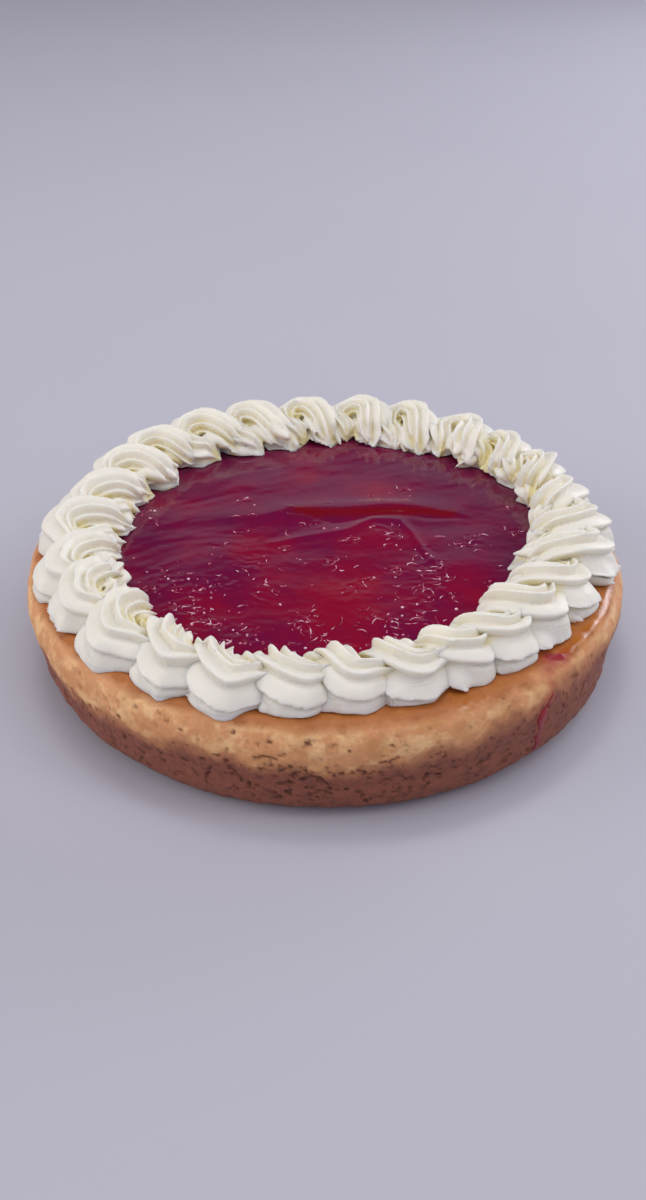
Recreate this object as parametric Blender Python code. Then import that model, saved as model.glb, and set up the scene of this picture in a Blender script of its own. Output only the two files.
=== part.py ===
"""Baked strawberry cheesecake, whole and uncut.

A plain baked cheesecake stands on its flat base.  A thin layer of strawberry jam covers the
middle of its top, and a ring of piped cream swirls closes the edge.  The origin is on the
ground under the middle of the cake, +Z is up, and the front of the cake faces -Y.
Sizes are in metres.
"""
import math
import random

import bmesh
import bpy
from mathutils import Matrix, Vector

# ---- driving dimensions ---------------------------------------------------------------
CAKE_RADIUS = 0.125            # widest part of the side
CAKE_HEIGHT = 0.044            # flat top above the ground
BASE_RADIUS = 0.112            # flat underside
GAP = 0.0003                   # air between two pieces that touch

FOOT_WIDTH = 0.0107            # how far the rounded foot runs in under the side
FOOT_RISE = 0.0162             # and how high it reaches
WIDEST_HEIGHT = 0.0317         # where the side is widest
SHOULDER_ROUND = 0.0075        # how far the upper edge curves in
SIDE_SEGMENTS = 60             # facets round the cake
SIDE_WAVE = 0.0008             # how far the baked side swells and sinks
SIDE_SWELLS = ((3, 0.4), (5, 2.1), (8, 4.0))    # waves round the cake and their phases
SIDE_LEAN = 0.0010             # how far the foot stands off centre, towards +X

JAM_RADIUS = 0.0960            # the jam runs a little way under the cream
JAM_THICKNESS = 0.0025
JAM_ROUND = 0.0012             # rounded rim of the jam
JAM_WAVE = 0.0005              # height of the swells on the jam
JAM_FOLD_AWAY = 0.020          # the fold in the jam lies behind the middle
JAM_FOLD_LENGTH = 0.045
JAM_FOLD_WIDTH = 0.006
JAM_SEGMENTS = 40
JAM_RINGS = 6

SWIRL_COUNT = 27
FIRST_SWIRL_TURN = -44.0       # degrees from the front, counter-clockwise seen from above
RING_RADIUS = 0.1045           # middle line of the cream ring
RING_WIDTH = 0.0345            # from the outer scallops to the tips on the jam
PITCH = 2.0 * math.pi * RING_RADIUS / SWIRL_COUNT
STREAM_RADIUS = 0.0095         # of the cream where it has spread most
NOZZLE_TEETH = 7
RIDGE_DEPTH = 0.38             # of the stream radius, from a ridge to the groove beside it
RIDGE_SHARPNESS = 1.35         # above 1 the faces between two ridges are hollow
STREAM_TURN = 0.7              # radians that the ridges turn about the stream in one swirl

# ---- the hand's unevenness ------------------------------------------------------------
SWIRL_SEED = 27
TURN_SPREAD = 1.2              # degrees along the ring
SIZE_SPREAD = 0.05
TWIST_SPREAD = 9.0             # degrees about the upright
LIFT_SPREAD = 0.06
ROLL_SPREAD = 0.35             # radians about the stream
SHIFT_SPREAD = 0.0012          # in or out of the ring
BACK_CROWDING = 7.0            # degrees that the swirls opposite the first lag behind
SOFT_TURN = 268.0              # the swirls are softer and larger round this turn
SOFT_REACH = 38.0              # degrees to each side
SOFT_GROWTH = 0.05             # and so much larger

# The nozzle's way through one swirl: along the ring in pitches, outward in ring widths,
# height and stream radius in stream radii.  It starts in a tip on the jam, runs outward over
# the swirl before it, sweeps round the outside and turns in again under the swirl after it.
STROKE = (
    (-0.62, -0.50, 0.37, 0.34),
    (-0.50, -0.36, 0.76, 0.66),
    (-0.36, -0.16, 1.04, 0.88),
    (-0.25, 0.06, 1.04, 0.97),
    (-0.05, 0.22, 0.88, 1.00),
    (0.24, 0.25, 0.74, 0.97),
    (0.50, 0.12, 0.68, 0.92),
    (0.60, -0.08, 0.66, 0.92),
    (0.56, -0.27, 0.62, 0.86),
    (0.46, -0.42, 0.46, 0.66),
)
STROKE_STEPS = 40
TOOTH_POINTS = 8               # points of the cross-section for each tooth of the nozzle

SWIRL_TRIANGLES = 280          # of one swirl after it is simplified
VOXEL = 0.0009                 # grain at which a swirl's stream is fused into one body
SEAM = 0.0010                  # air between two swirls before they are simplified
JAM_CLEARANCE = 1.3 * GAP      # air between a swirl and the jam it lies on
REST_SLAB_DEPTH = 0.04         # of the slab that cuts the swirls flat underneath


# ---- small helpers --------------------------------------------------------------------
def clear_scene():
    """Remove every object that the file starts with."""
    for thing in list(bpy.data.objects):
        bpy.data.objects.remove(thing, do_unlink=True)


def plain_material(name, colour, roughness):
    """A Principled material of one linear colour."""
    material = bpy.data.materials.new(name)
    material.use_nodes = True
    shader = material.node_tree.nodes["Principled BSDF"]
    shader.inputs["Base Color"].default_value = (*colour, 1.0)
    shader.inputs["Roughness"].default_value = roughness
    shader.inputs["Metallic"].default_value = 0.0
    return material


def object_from_bmesh(name, mesh_data, material=None):
    """Turn a bmesh into a smooth shaded object of the scene."""
    mesh = bpy.data.meshes.new(name)
    mesh_data.to_mesh(mesh)
    mesh_data.free()
    mesh.shade_smooth()
    piece = bpy.data.objects.new(name, mesh)
    bpy.context.collection.objects.link(piece)
    if material is not None:
        mesh.materials.append(material)
    return piece


def evaluated_bmesh(piece):
    """The shape of an object with its modifiers, as a bmesh."""
    shape = bmesh.new()
    shape.from_object(piece, bpy.context.evaluated_depsgraph_get())
    return shape


def drop(piece):
    """Remove a helper object and its mesh."""
    mesh = piece.data
    bpy.data.objects.remove(piece, do_unlink=True)
    bpy.data.meshes.remove(mesh)


def ease(value):
    """Smooth step from 0 to 1."""
    value = min(max(value, 0.0), 1.0)
    return value * value * (3.0 - 2.0 * value)


def ring_swell(turn, waves):
    """Mean of slow waves round the cake, each given as its count and phase."""
    return sum(math.sin(count * turn + phase) for count, phase in waves) / len(waves)


# ---- cheesecake -----------------------------------------------------------------------
def side_profile():
    """Outline of half the cake from the edge of its flat base to the edge of its flat top."""
    foot_steps, side_steps, shoulder_steps = 4, 3, 4
    outline = []
    for step in range(foot_steps + 1):
        turn = math.radians(90.0 * step / foot_steps)
        outline.append((BASE_RADIUS + FOOT_WIDTH * math.sin(turn),
                        FOOT_RISE * (1.0 - math.cos(turn))))
    foot_radius = BASE_RADIUS + FOOT_WIDTH
    for step in range(1, side_steps + 1):
        part = step / side_steps
        outline.append((foot_radius + (CAKE_RADIUS - foot_radius) * math.sin(part * math.pi / 2.0),
                        FOOT_RISE + (WIDEST_HEIGHT - FOOT_RISE) * part))
    for step in range(1, shoulder_steps + 1):
        turn = math.radians(90.0 * step / shoulder_steps)
        outline.append((CAKE_RADIUS - SHOULDER_ROUND * (1.0 - math.cos(turn)),
                        WIDEST_HEIGHT + (CAKE_HEIGHT - WIDEST_HEIGHT) * math.sin(turn)))
    return outline


def build_cake(material):
    """The cheesecake: a turned body whose side swells and sinks slightly."""
    shape = bmesh.new()
    rings = []
    for radius, height in side_profile():
        up = height / CAKE_HEIGHT
        ring = []
        for index in range(SIDE_SEGMENTS):
            turn = 2.0 * math.pi * index / SIDE_SEGMENTS
            swell = math.sin(math.pi * up) * ring_swell(turn + up, SIDE_SWELLS)
            reach = radius + SIDE_WAVE * swell
            across = reach * math.sin(turn) + SIDE_LEAN * (1.0 - up)
            ring.append(shape.verts.new((across, -reach * math.cos(turn), height)))
        rings.append(ring)
    for lower, upper in zip(rings, rings[1:]):
        for index in range(SIDE_SEGMENTS):
            after = (index + 1) % SIDE_SEGMENTS
            shape.faces.new((lower[index], lower[after], upper[after], upper[index]))
    shape.faces.new(list(reversed(rings[0])))
    shape.faces.new(rings[-1])
    bmesh.ops.recalc_face_normals(shape, faces=shape.faces)
    return object_from_bmesh("cheesecake_body", shape, material)


# ---- jam ------------------------------------------------------------------------------
def jam_height(across, away):
    """Height of the spread jam above its rim: slow swells and one long fold at the back."""
    broad = math.sin(across / 0.016 + 1.0) * math.sin(away / 0.0125 + 0.4)
    slanting = math.sin(across / 0.0085 - away / 0.0175)
    off_line = away - JAM_FOLD_AWAY - 0.10 * across
    fold = math.exp(-(off_line / JAM_FOLD_WIDTH) ** 2 - (across / JAM_FOLD_LENGTH) ** 2)
    return JAM_WAVE * (0.5 * broad + 0.3 * slanting + 1.6 * fold)


def build_jam(material):
    """The spread jam: a thin uneven disc with a rounded rim."""
    bottom = CAKE_HEIGHT + GAP
    rim = bottom + JAM_THICKNESS - JAM_ROUND
    shape = bmesh.new()

    def ring_at(radius, height_of):
        ring = []
        for index in range(JAM_SEGMENTS):
            turn = 2.0 * math.pi * index / JAM_SEGMENTS
            across, away = radius * math.sin(turn), -radius * math.cos(turn)
            ring.append(shape.verts.new((across, away, height_of(across, away))))
        return ring

    rings = [ring_at(JAM_RADIUS, lambda across, away: bottom),
             ring_at(JAM_RADIUS, lambda across, away: rim)]
    for step in range(JAM_RINGS):
        part = 1.0 - step / JAM_RINGS
        radius = (JAM_RADIUS - JAM_ROUND) * part
        inside = ease((1.0 - part) * 3.0)
        rings.append(ring_at(radius, lambda across, away, inside=inside:
                             rim + JAM_ROUND + inside * jam_height(across, away)))
    for lower, upper in zip(rings, rings[1:]):
        for index in range(JAM_SEGMENTS):
            after = (index + 1) % JAM_SEGMENTS
            shape.faces.new((lower[index], lower[after], upper[after], upper[index]))
    shape.faces.new(list(reversed(rings[0])))
    middle = shape.verts.new((0.0, 0.0, rim + JAM_ROUND + jam_height(0.0, 0.0)))
    last = rings[-1]
    for index in range(JAM_SEGMENTS):
        shape.faces.new((last[index], last[(index + 1) % JAM_SEGMENTS], middle))
    bmesh.ops.recalc_face_normals(shape, faces=shape.faces)
    return object_from_bmesh("jam_layer", shape, material)


# ---- cream swirls ---------------------------------------------------------------------
class SwirlHand:
    """How one swirl is piped: its place on the ring and the hand's small differences."""

    def __init__(self, index, chance):
        even_turn = FIRST_SWIRL_TURN + 360.0 * index / SWIRL_COUNT
        round_the_back = 1.0 - math.cos(math.radians(even_turn - FIRST_SWIRL_TURN))
        degrees = even_turn - BACK_CROWDING * round_the_back
        degrees += chance.uniform(-TURN_SPREAD, TURN_SPREAD)
        self.turn = math.radians(degrees)
        self.softness = math.exp(-((degrees % 360.0 - SOFT_TURN) / SOFT_REACH) ** 2)
        self.size = chance.uniform(1.0 - SIZE_SPREAD, 1.0 + SIZE_SPREAD)
        self.size += SOFT_GROWTH * self.softness
        self.twist = math.radians(chance.uniform(-TWIST_SPREAD, TWIST_SPREAD))
        self.lift = chance.uniform(1.0 - LIFT_SPREAD, 1.0 + LIFT_SPREAD)
        self.roll = chance.uniform(-ROLL_SPREAD, ROLL_SPREAD)
        self.shift = chance.uniform(-SHIFT_SPREAD, SHIFT_SPREAD)
        self.starts = [chance.uniform(0.00, 0.10) for _ in range(NOZZLE_TEETH)]
        self.ends = [chance.uniform(0.92, 1.00) for _ in range(NOZZLE_TEETH)]
        self.tall = [chance.uniform(0.85, 1.12) for _ in range(NOZZLE_TEETH)]
        self.splay = [chance.uniform(0.00, 0.55) for _ in range(NOZZLE_TEETH)]


def smooth_between(keys, steps):
    """Points on a Catmull-Rom curve through the keys, from the first to the last."""
    first = [2.0 * a - b for a, b in zip(keys[0], keys[1])]
    last = [2.0 * a - b for a, b in zip(keys[-1], keys[-2])]
    padded = [first, *keys, last]
    spans = len(keys) - 1
    points = []
    for step in range(steps + 1):
        place = step / steps * spans
        span = min(int(place), spans - 1)
        t = place - span
        weights = (-t + 2.0 * t * t - t ** 3, 2.0 - 5.0 * t * t + 3.0 * t ** 3,
                   t + 4.0 * t * t - 3.0 * t ** 3, t ** 3 - t * t)
        four = padded[span:span + 4]
        points.append([0.5 * sum(w * key[axis] for w, key in zip(weights, four))
                       for axis in range(len(keys[0]))])
    return points


def swirl_stations(hand):
    """Centre and radius of the stream all along one swirl, in the swirl's own axes."""
    stations = []
    for along, outward, up, radius in smooth_between(STROKE, STROKE_STEPS):
        centre = Vector((along * PITCH * hand.size,
                         outward * RING_WIDTH * hand.size,
                         up * STREAM_RADIUS * hand.lift))
        stations.append((centre, radius * STREAM_RADIUS * hand.size))
    return stations


def stream_reach(hand, tooth, aside, part):
    """Distance of the stream's skin from its middle, for a stream radius of 1.

    aside runs from -1 to 1 across a tooth, and part from 0 to 1 along the stroke.  The core
    fills out at the tip and closes at the end, each ridge starts and ends at its own place,
    and the tips of the ridges splay.
    """
    depth = RIDGE_DEPTH * (1.0 - 0.5 * hand.softness)
    core = ease((part + 0.01) / 0.10) * ease((1.01 - part) / 0.08)
    begun = ease((part - hand.starts[tooth] + 0.035) / 0.07)
    unended = ease((hand.ends[tooth] - part + 0.03) / 0.06)
    splay = 1.0 + hand.splay[tooth] * (1.0 - ease(part / 0.16))
    ridge = (0.05 + depth * hand.tall[tooth]) * (1.0 - abs(aside)) ** RIDGE_SHARPNESS
    return 1.1 * ((1.0 - 1.15 * depth) * core + ridge * begun * unended * splay)


def sweep_stream(hand):
    """The ribbed stream of one swirl as a closed tube, in the swirl's own axes."""
    shape = bmesh.new()
    stations = swirl_stations(hand)
    last = len(stations) - 1
    around = NOZZLE_TEETH * TOOTH_POINTS
    across = None
    loops = []
    for index, (centre, radius) in enumerate(stations):
        part = index / last
        ahead = stations[min(index + 1, last)][0]
        behind = stations[max(index - 1, 0)][0]
        forward = (ahead - behind).normalized()
        if across is None:
            across = forward.cross(Vector((0.0, 0.0, 1.0)))
        across = (across - forward * across.dot(forward)).normalized()
        over = forward.cross(across)
        loop = []
        for point in range(around):
            tooth, place = divmod(point, TOOTH_POINTS)
            aside = 2.0 * place / TOOTH_POINTS - 1.0
            reach = max(radius * stream_reach(hand, tooth, aside, part), GAP / 2.0)
            turn = 2.0 * math.pi * point / around + hand.roll + STREAM_TURN * (part - 0.5)
            loop.append(shape.verts.new(
                centre + (across * math.cos(turn) + over * math.sin(turn)) * reach))
        loops.append(loop)
    for near, far in zip(loops, loops[1:]):
        for index in range(around):
            after = (index + 1) % around
            shape.faces.new((near[index], near[after], far[after], far[index]))
    shape.faces.new(list(reversed(loops[0])))
    shape.faces.new(loops[-1])
    return shape


def place_on_ring(hand):
    """Matrix from the swirl's own axes (along, outward, up) to its place on the cake."""
    outward = Vector((math.sin(hand.turn), -math.cos(hand.turn), 0.0))
    along = Vector((math.cos(hand.turn), math.sin(hand.turn), 0.0))
    axes = Matrix((along, outward, Vector((0.0, 0.0, 1.0)))).transposed().to_4x4()
    centre = outward * (RING_RADIUS + hand.shift)
    centre.z = CAKE_HEIGHT + GAP
    return Matrix.Translation(centre) @ axes @ Matrix.Rotation(hand.twist, 4, "Z")


def keep_largest_body(shape):
    """Drop every loose scrap of a bmesh but its largest body."""
    left = set(shape.verts)
    bodies = []
    while left:
        seed = left.pop()
        body, front = [seed], [seed]
        while front:
            vertex = front.pop()
            for edge in vertex.link_edges:
                other = edge.other_vert(vertex)
                if other in left:
                    left.discard(other)
                    body.append(other)
                    front.append(other)
        bodies.append(body)
    bodies.sort(key=len)
    for body in bodies[:-1]:
        bmesh.ops.delete(shape, geom=body, context="VERTS")


def pipe_swirl(hand, name):
    """One whole swirl before it is fitted: the stream fused into a single closed body."""
    shape = sweep_stream(hand)
    bmesh.ops.transform(shape, matrix=place_on_ring(hand), verts=shape.verts)
    bmesh.ops.recalc_face_normals(shape, faces=shape.faces)
    stream = object_from_bmesh(name + "_stream", shape)
    fuse = stream.modifiers.new("fuse", "REMESH")
    fuse.mode = "VOXEL"
    fuse.voxel_size = VOXEL
    shape = evaluated_bmesh(stream)
    drop(stream)
    keep_largest_body(shape)
    return object_from_bmesh(name + "_whole", shape)


def swollen_copy(piece, by):
    """A cutter: a copy of a piece with its skin moved outward."""
    shape = bmesh.new()
    shape.from_mesh(piece.data)
    shape.normal_update()
    moves = [(vertex, vertex.normal * by) for vertex in shape.verts]
    for vertex, move in moves:
        vertex.co += move
    return object_from_bmesh(piece.name + "_cutter", shape)


def cut_away(piece, cutters, name):
    """A new object: the largest body left of a piece when its cutters are taken away.

    The streams fold over themselves, which the EXACT solver doesn't survive, so the cuts
    use MANIFOLD.
    """
    for cutter in cutters:
        cut = piece.modifiers.new("fit", "BOOLEAN")
        cut.operation = "DIFFERENCE"
        cut.solver = "MANIFOLD"
        cut.object = cutter
    shape = evaluated_bmesh(piece)
    bmesh.ops.triangulate(shape, faces=shape.faces)
    keep_largest_body(shape)
    return object_from_bmesh(name, shape)


def thinned(piece, triangles):
    """A new object: the piece with its skin simplified to about so many triangles."""
    collapse = piece.modifiers.new("thin", "DECIMATE")
    collapse.ratio = triangles / len(piece.data.polygons)
    collapse.use_collapse_triangulate = True
    return object_from_bmesh(piece.name + "_thin", evaluated_bmesh(piece))


def rest_plane_cutter():
    """A flat slab whose top is the plane that the swirls rest on."""
    shape = bmesh.new()
    bmesh.ops.create_cube(shape, size=1.0)
    span = 3.0 * CAKE_RADIUS
    middle = CAKE_HEIGHT + GAP - REST_SLAB_DEPTH / 2.0
    bmesh.ops.scale(shape, vec=(span, span, REST_SLAB_DEPTH), verts=shape.verts)
    bmesh.ops.translate(shape, vec=(0.0, 0.0, middle), verts=shape.verts)
    return object_from_bmesh("rest_plane_cutter", shape)


def next_two(items, index):
    """The two items that follow one on the ring."""
    return [items[(index + step) % SWIRL_COUNT] for step in (1, 2)]


def build_swirls(jam, material):
    """The ring of swirls, each cut where the next ones lie on it and where it meets the jam.

    They are cut at full detail first, then simplified, then trimmed once more so that every
    seam keeps its gap.
    """
    chance = random.Random(SWIRL_SEED)
    hands = [SwirlHand(index, chance) for index in range(SWIRL_COUNT)]
    names = ["cream_swirl_%02d" % (index + 1) for index in range(SWIRL_COUNT)]
    under = [rest_plane_cutter(), swollen_copy(jam, JAM_CLEARANCE)]
    wholes = [pipe_swirl(hand, name) for hand, name in zip(hands, names)]
    cutters = [swollen_copy(whole, SEAM) for whole in wholes]
    fitted = [cut_away(whole, next_two(cutters, index) + under, name + "_fitted")
              for index, (whole, name) in enumerate(zip(wholes, names))]
    thin = [thinned(piece, SWIRL_TRIANGLES) for piece in fitted]
    trimmers = [swollen_copy(piece, GAP) for piece in thin]
    for index, (piece, name) in enumerate(zip(thin, names)):
        cut_away(piece, next_two(trimmers, index) + under, name).data.materials.append(material)
    for helper in wholes + cutters + fitted + thin + trimmers + under:
        drop(helper)


def main():
    clear_scene()
    build_cake(plain_material("baked_cheesecake", (0.46, 0.24, 0.12), 0.55))
    jam = build_jam(plain_material("strawberry_jam", (0.17, 0.010, 0.035), 0.15))
    build_swirls(jam, plain_material("whipped_cream", (0.80, 0.76, 0.68), 0.45))


main()
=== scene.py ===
"""Baked strawberry cheesecake, dressed: crust, strawberry jam and a ring of piped cream.

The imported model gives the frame: one cake body, one layer of jam and 27 cream swirls.  Each of
them is replaced by a finer piece that keeps its form, and thin runs of jam, curls of froth and
the crumbs at the foot are added.  Lengths are in metres unless a comment says millimetres, +Z is
up and the front of the cake faces -Y.  A turn is counted counter-clockwise from the front, in
degrees unless a comment says radians.
"""
import logging
import math
import random
from collections.abc import Iterator, Sequence
from contextlib import contextmanager
from dataclasses import dataclass
from enum import Enum

import bpy
import numpy as np
from mathutils import Matrix, Vector, noise
from mathutils.bvhtree import BVHTree


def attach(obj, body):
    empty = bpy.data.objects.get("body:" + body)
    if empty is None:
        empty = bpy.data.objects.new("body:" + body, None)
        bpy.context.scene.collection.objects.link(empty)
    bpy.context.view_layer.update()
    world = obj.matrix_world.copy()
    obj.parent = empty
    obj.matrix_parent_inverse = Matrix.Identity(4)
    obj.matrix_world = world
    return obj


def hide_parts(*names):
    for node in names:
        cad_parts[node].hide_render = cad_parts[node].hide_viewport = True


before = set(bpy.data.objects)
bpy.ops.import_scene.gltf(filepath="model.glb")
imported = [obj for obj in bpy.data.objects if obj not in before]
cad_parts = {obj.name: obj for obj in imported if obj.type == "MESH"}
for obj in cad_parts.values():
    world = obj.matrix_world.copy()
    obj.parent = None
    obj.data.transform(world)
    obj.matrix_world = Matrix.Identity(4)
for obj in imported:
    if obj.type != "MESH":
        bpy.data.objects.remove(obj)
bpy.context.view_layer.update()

LOG = logging.getLogger("cheesecake")
MM = 0.001
ROOT = "root"
GAP = 0.3 * MM                 # air between two pieces that touch
WELD = 0.01 * MM               # points closer than this are one point
TINY = 1e-9                    # keeps a division from failing

Colour = tuple[float, float, float, float]
Points = np.ndarray
Keys = tuple[tuple[float, ...], ...]
Socket = bpy.types.NodeSocket


class Slot(Enum):
    """The material slots that the finishes belong to."""

    CHEESECAKE = "cheesecake"
    JAM = "jam"
    CREAM = "cream"


# ---- small helpers --------------------------------------------------------------------
def from_hex(code: str) -> Colour:
    """Turn an sRGB hex colour into linear light.

    Args:
        code: six hex digits.

    Returns:
        Red, green, blue and alpha for a shader's socket.
    """
    channels = [int(code[place:place + 2], 16) / 255.0 for place in (0, 2, 4)]
    linear = [c / 12.92 if c <= 0.04045 else ((c + 0.055) / 1.055) ** 2.4 for c in channels]
    return (*linear, 1.0)


def per_mm(size: float) -> float:
    """Scale of a texture whose features are so many millimetres wide."""
    return 1.0 / (size * MM)


def ease(value: float | Points) -> float | Points:
    """Smooth step from 0 to 1."""
    value = np.clip(value, 0.0, 1.0)
    return value * value * (3.0 - 2.0 * value)


def blend_in(value: float | Points, start: float, full: float) -> float | Points:
    """Smooth step that is 0 at the start and 1 where it is full, whichever is higher."""
    return ease((value - start) / (full - start))


def bell(distance: Points, width: float) -> Points:
    """A smooth hump, 1 in the middle and fading over the width."""
    return np.exp(-(distance / width) ** 2)


def noise_at(points: Points, size: float | Sequence[float], seed: int) -> Points:
    """Smooth noise between about -1 and 1 at many points.

    Args:
        points: one row of coordinates for each point.
        size: width of the noise's features, one number or one for each axis.
        seed: picks another part of the noise.

    Returns:
        One value for each point.
    """
    scaled = points / np.asarray(size, float) + 17.31 * seed
    return np.fromiter((noise.noise(row) for row in scaled.tolist()), float, len(scaled))


def layered(points: Points, layers: Sequence[tuple[object, object]], seed: int) -> Points:
    """Several noises on top of each other.

    Args:
        points: one row of coordinates for each point.
        layers: strength and feature width of each noise.
        seed: the first noise's seed, one more for each noise after it.

    Returns:
        One value for each point.
    """
    return sum(strength * noise_at(points, size, seed + index)
               for index, (strength, size) in enumerate(layers))


def line_gap(points: Points, start: Points, end: Points) -> Points:
    """Distance from each point to the straight line between two places.

    Args:
        points: Points, one row each.
        start: One end of the line.
        end: Its other end.

    Returns:
        One distance for each point.
    """
    step = end - start
    along = np.clip(((points - start) @ step) / (step @ step), 0.0, 1.0)
    return np.linalg.norm(points - start - along[:, None] * step, axis=1)


def blurred(grid: Points, rounds: int = 2) -> Points:
    """A grid of values, each evened out with its four neighbours.

    Args:
        grid: The values.
        rounds: How many times they are evened out.

    Returns:
        The evened values.
    """
    for _ in range(rounds):
        grid = (grid + np.roll(grid, 1, 0) + np.roll(grid, -1, 0)
                + np.roll(grid, 1, 1) + np.roll(grid, -1, 1)) / 5.0
    return grid


def turn_of(points: Points) -> Points:
    """Degrees from the front, counter-clockwise seen from above."""
    return np.degrees(np.arctan2(points[:, 0], -points[:, 1]))


def place_at(turn: float, radius: float, height: float) -> Vector:
    """The point at a turn in degrees from the front, a radius and a height."""
    angle = math.radians(turn)
    return Vector((radius * math.sin(angle), -radius * math.cos(angle), height))


def pick_only(piece: bpy.types.Object) -> None:
    """Deselect everything and make one piece active.

    Args:
        piece: The piece to work on.
    """
    bpy.ops.object.select_all(action="DESELECT")
    piece.select_set(True)
    bpy.context.view_layer.objects.active = piece


@contextmanager
def edit_mode(piece: bpy.types.Object) -> Iterator[None]:
    """Work on one piece in edit mode, with all of it selected.

    Args:
        piece: The piece to edit.

    Yields:
        Nothing: edit mode ends with the block.
    """
    pick_only(piece)
    bpy.ops.object.mode_set(mode="EDIT")
    bpy.ops.mesh.select_all(action="SELECT")
    try:
        yield
    finally:
        bpy.ops.object.mode_set(mode="OBJECT")


def fresh(name: str) -> bpy.types.Object:
    """Name the primitive that was just added.

    Args:
        name: Name for the object and its mesh.

    Returns:
        The primitive.
    """
    piece = bpy.context.active_object
    piece.name = piece.data.name = name
    return piece


def unit_ball(segments: int, rings: int) -> bpy.types.Object:
    """A sphere of radius 1, to be pulled into another shape."""
    bpy.ops.mesh.primitive_uv_sphere_add(segments=segments, ring_count=rings, radius=1.0)
    return bpy.context.active_object


def join_pieces(pieces: Sequence[bpy.types.Object], name: str) -> bpy.types.Object:
    """Join pieces into one that stands at the origin, unturned and unscaled.

    Args:
        pieces: The pieces, of which the first takes in the rest.
        name: Name of the whole.

    Returns:
        The whole.
    """
    pick_only(pieces[0])
    for piece in pieces:
        piece.select_set(True)
    bpy.ops.object.join()
    whole = fresh(name)
    bpy.ops.object.transform_apply(location=True, rotation=True, scale=True)
    return whole


def read_points(piece: bpy.types.Object) -> Points:
    """All the vertices of a piece, one row each.

    Args:
        piece: The piece to read.

    Returns:
        A place for each vertex, in the piece's own axes.
    """
    points = np.empty(len(piece.data.vertices) * 3)
    piece.data.vertices.foreach_get("co", points)
    return points.reshape(-1, 3)


def read_normals(piece: bpy.types.Object) -> Points:
    """The vertex normals of a piece, one row each.

    Args:
        piece: The piece to read.

    Returns:
        A direction for each vertex.
    """
    normals = np.empty(len(piece.data.vertices) * 3, np.float32)
    piece.data.vertex_normals.foreach_get("vector", normals)
    return normals.reshape(-1, 3).astype(float)


def write_points(piece: bpy.types.Object, points: Points) -> None:
    """Move the vertices of a piece, as a sculptor would."""
    piece.data.vertices.foreach_set("co", np.ascontiguousarray(points).ravel())
    piece.data.update()


def paint(piece: bpy.types.Object, name: str, values: Points) -> None:
    """Store one number for each vertex, for the material to read."""
    layer = piece.data.attributes.new(name, "FLOAT", "POINT")
    layer.data.foreach_set("value", np.clip(values, 0.0, 1.0).astype(np.float32))


def apply_modifier(piece: bpy.types.Object, kind: str, **settings: object) -> None:
    """Add a modifier with its settings and apply it at once.

    Args:
        piece: The piece to change.
        kind: Blender's name for the kind of modifier.
        settings: Its settings by name.
    """
    pick_only(piece)
    modifier = piece.modifiers.new(kind.lower(), kind)
    for name, value in settings.items():
        setattr(modifier, name, value)
    bpy.ops.object.modifier_apply(modifier=modifier.name)


def tidy_mesh(piece: bpy.types.Object) -> None:
    """Merge doubled points and turn every face outwards."""
    with edit_mode(piece):
        bpy.ops.mesh.remove_doubles(threshold=WELD)
        bpy.ops.mesh.normals_make_consistent(inside=False)


def finish_piece(piece: bpy.types.Object, material: bpy.types.Material, slot: Slot,
                 *nodes: str) -> None:
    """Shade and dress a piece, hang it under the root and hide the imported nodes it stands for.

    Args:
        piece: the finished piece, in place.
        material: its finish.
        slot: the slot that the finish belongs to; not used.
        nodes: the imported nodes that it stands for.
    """
    piece.data.shade_smooth()
    piece.data.materials.clear()
    piece.data.materials.append(material)
    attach(piece, ROOT)
    if nodes:
        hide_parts(*nodes)
    LOG.info("%s: %d faces", piece.name, len(piece.data.polygons))


def feed(tree: bpy.types.ShaderNodeTree, node: bpy.types.ShaderNode, socket: str | int,
         value: object) -> None:
    """Link or set one input of a node; a text is a hex colour."""
    if isinstance(value, Socket):
        tree.links.new(value, node.inputs[socket])
    else:
        node.inputs[socket].default_value = from_hex(value) if isinstance(value, str) else value


def add_node(tree: bpy.types.ShaderNodeTree, kind: str,
             inputs: dict[str | int, object] | None = None,
             stops: Sequence[tuple[float, str]] = (), **settings: object) -> bpy.types.ShaderNode:
    """Add a node with its settings and links.

    Args:
        tree: the material's or world's node tree.
        kind: the node's type, without "ShaderNode".
        inputs: a value, or the output socket that feeds it, for each input.
        stops: place and hex colour of each stop of a colour ramp.
        settings: the node's own properties.

    Returns:
        The new node.
    """
    made = tree.nodes.new("ShaderNode" + kind)
    for name, value in settings.items():
        setattr(made, name, value)
    for socket, value in (inputs or {}).items():
        feed(tree, made, socket, value)
    if stops:
        ramp = made.color_ramp.elements
        while len(ramp) < len(stops):
            ramp.new(0.5)
        for element, (place, code) in zip(ramp, stops):
            element.position = place
            element.color = from_hex(code)
    return made


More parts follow.
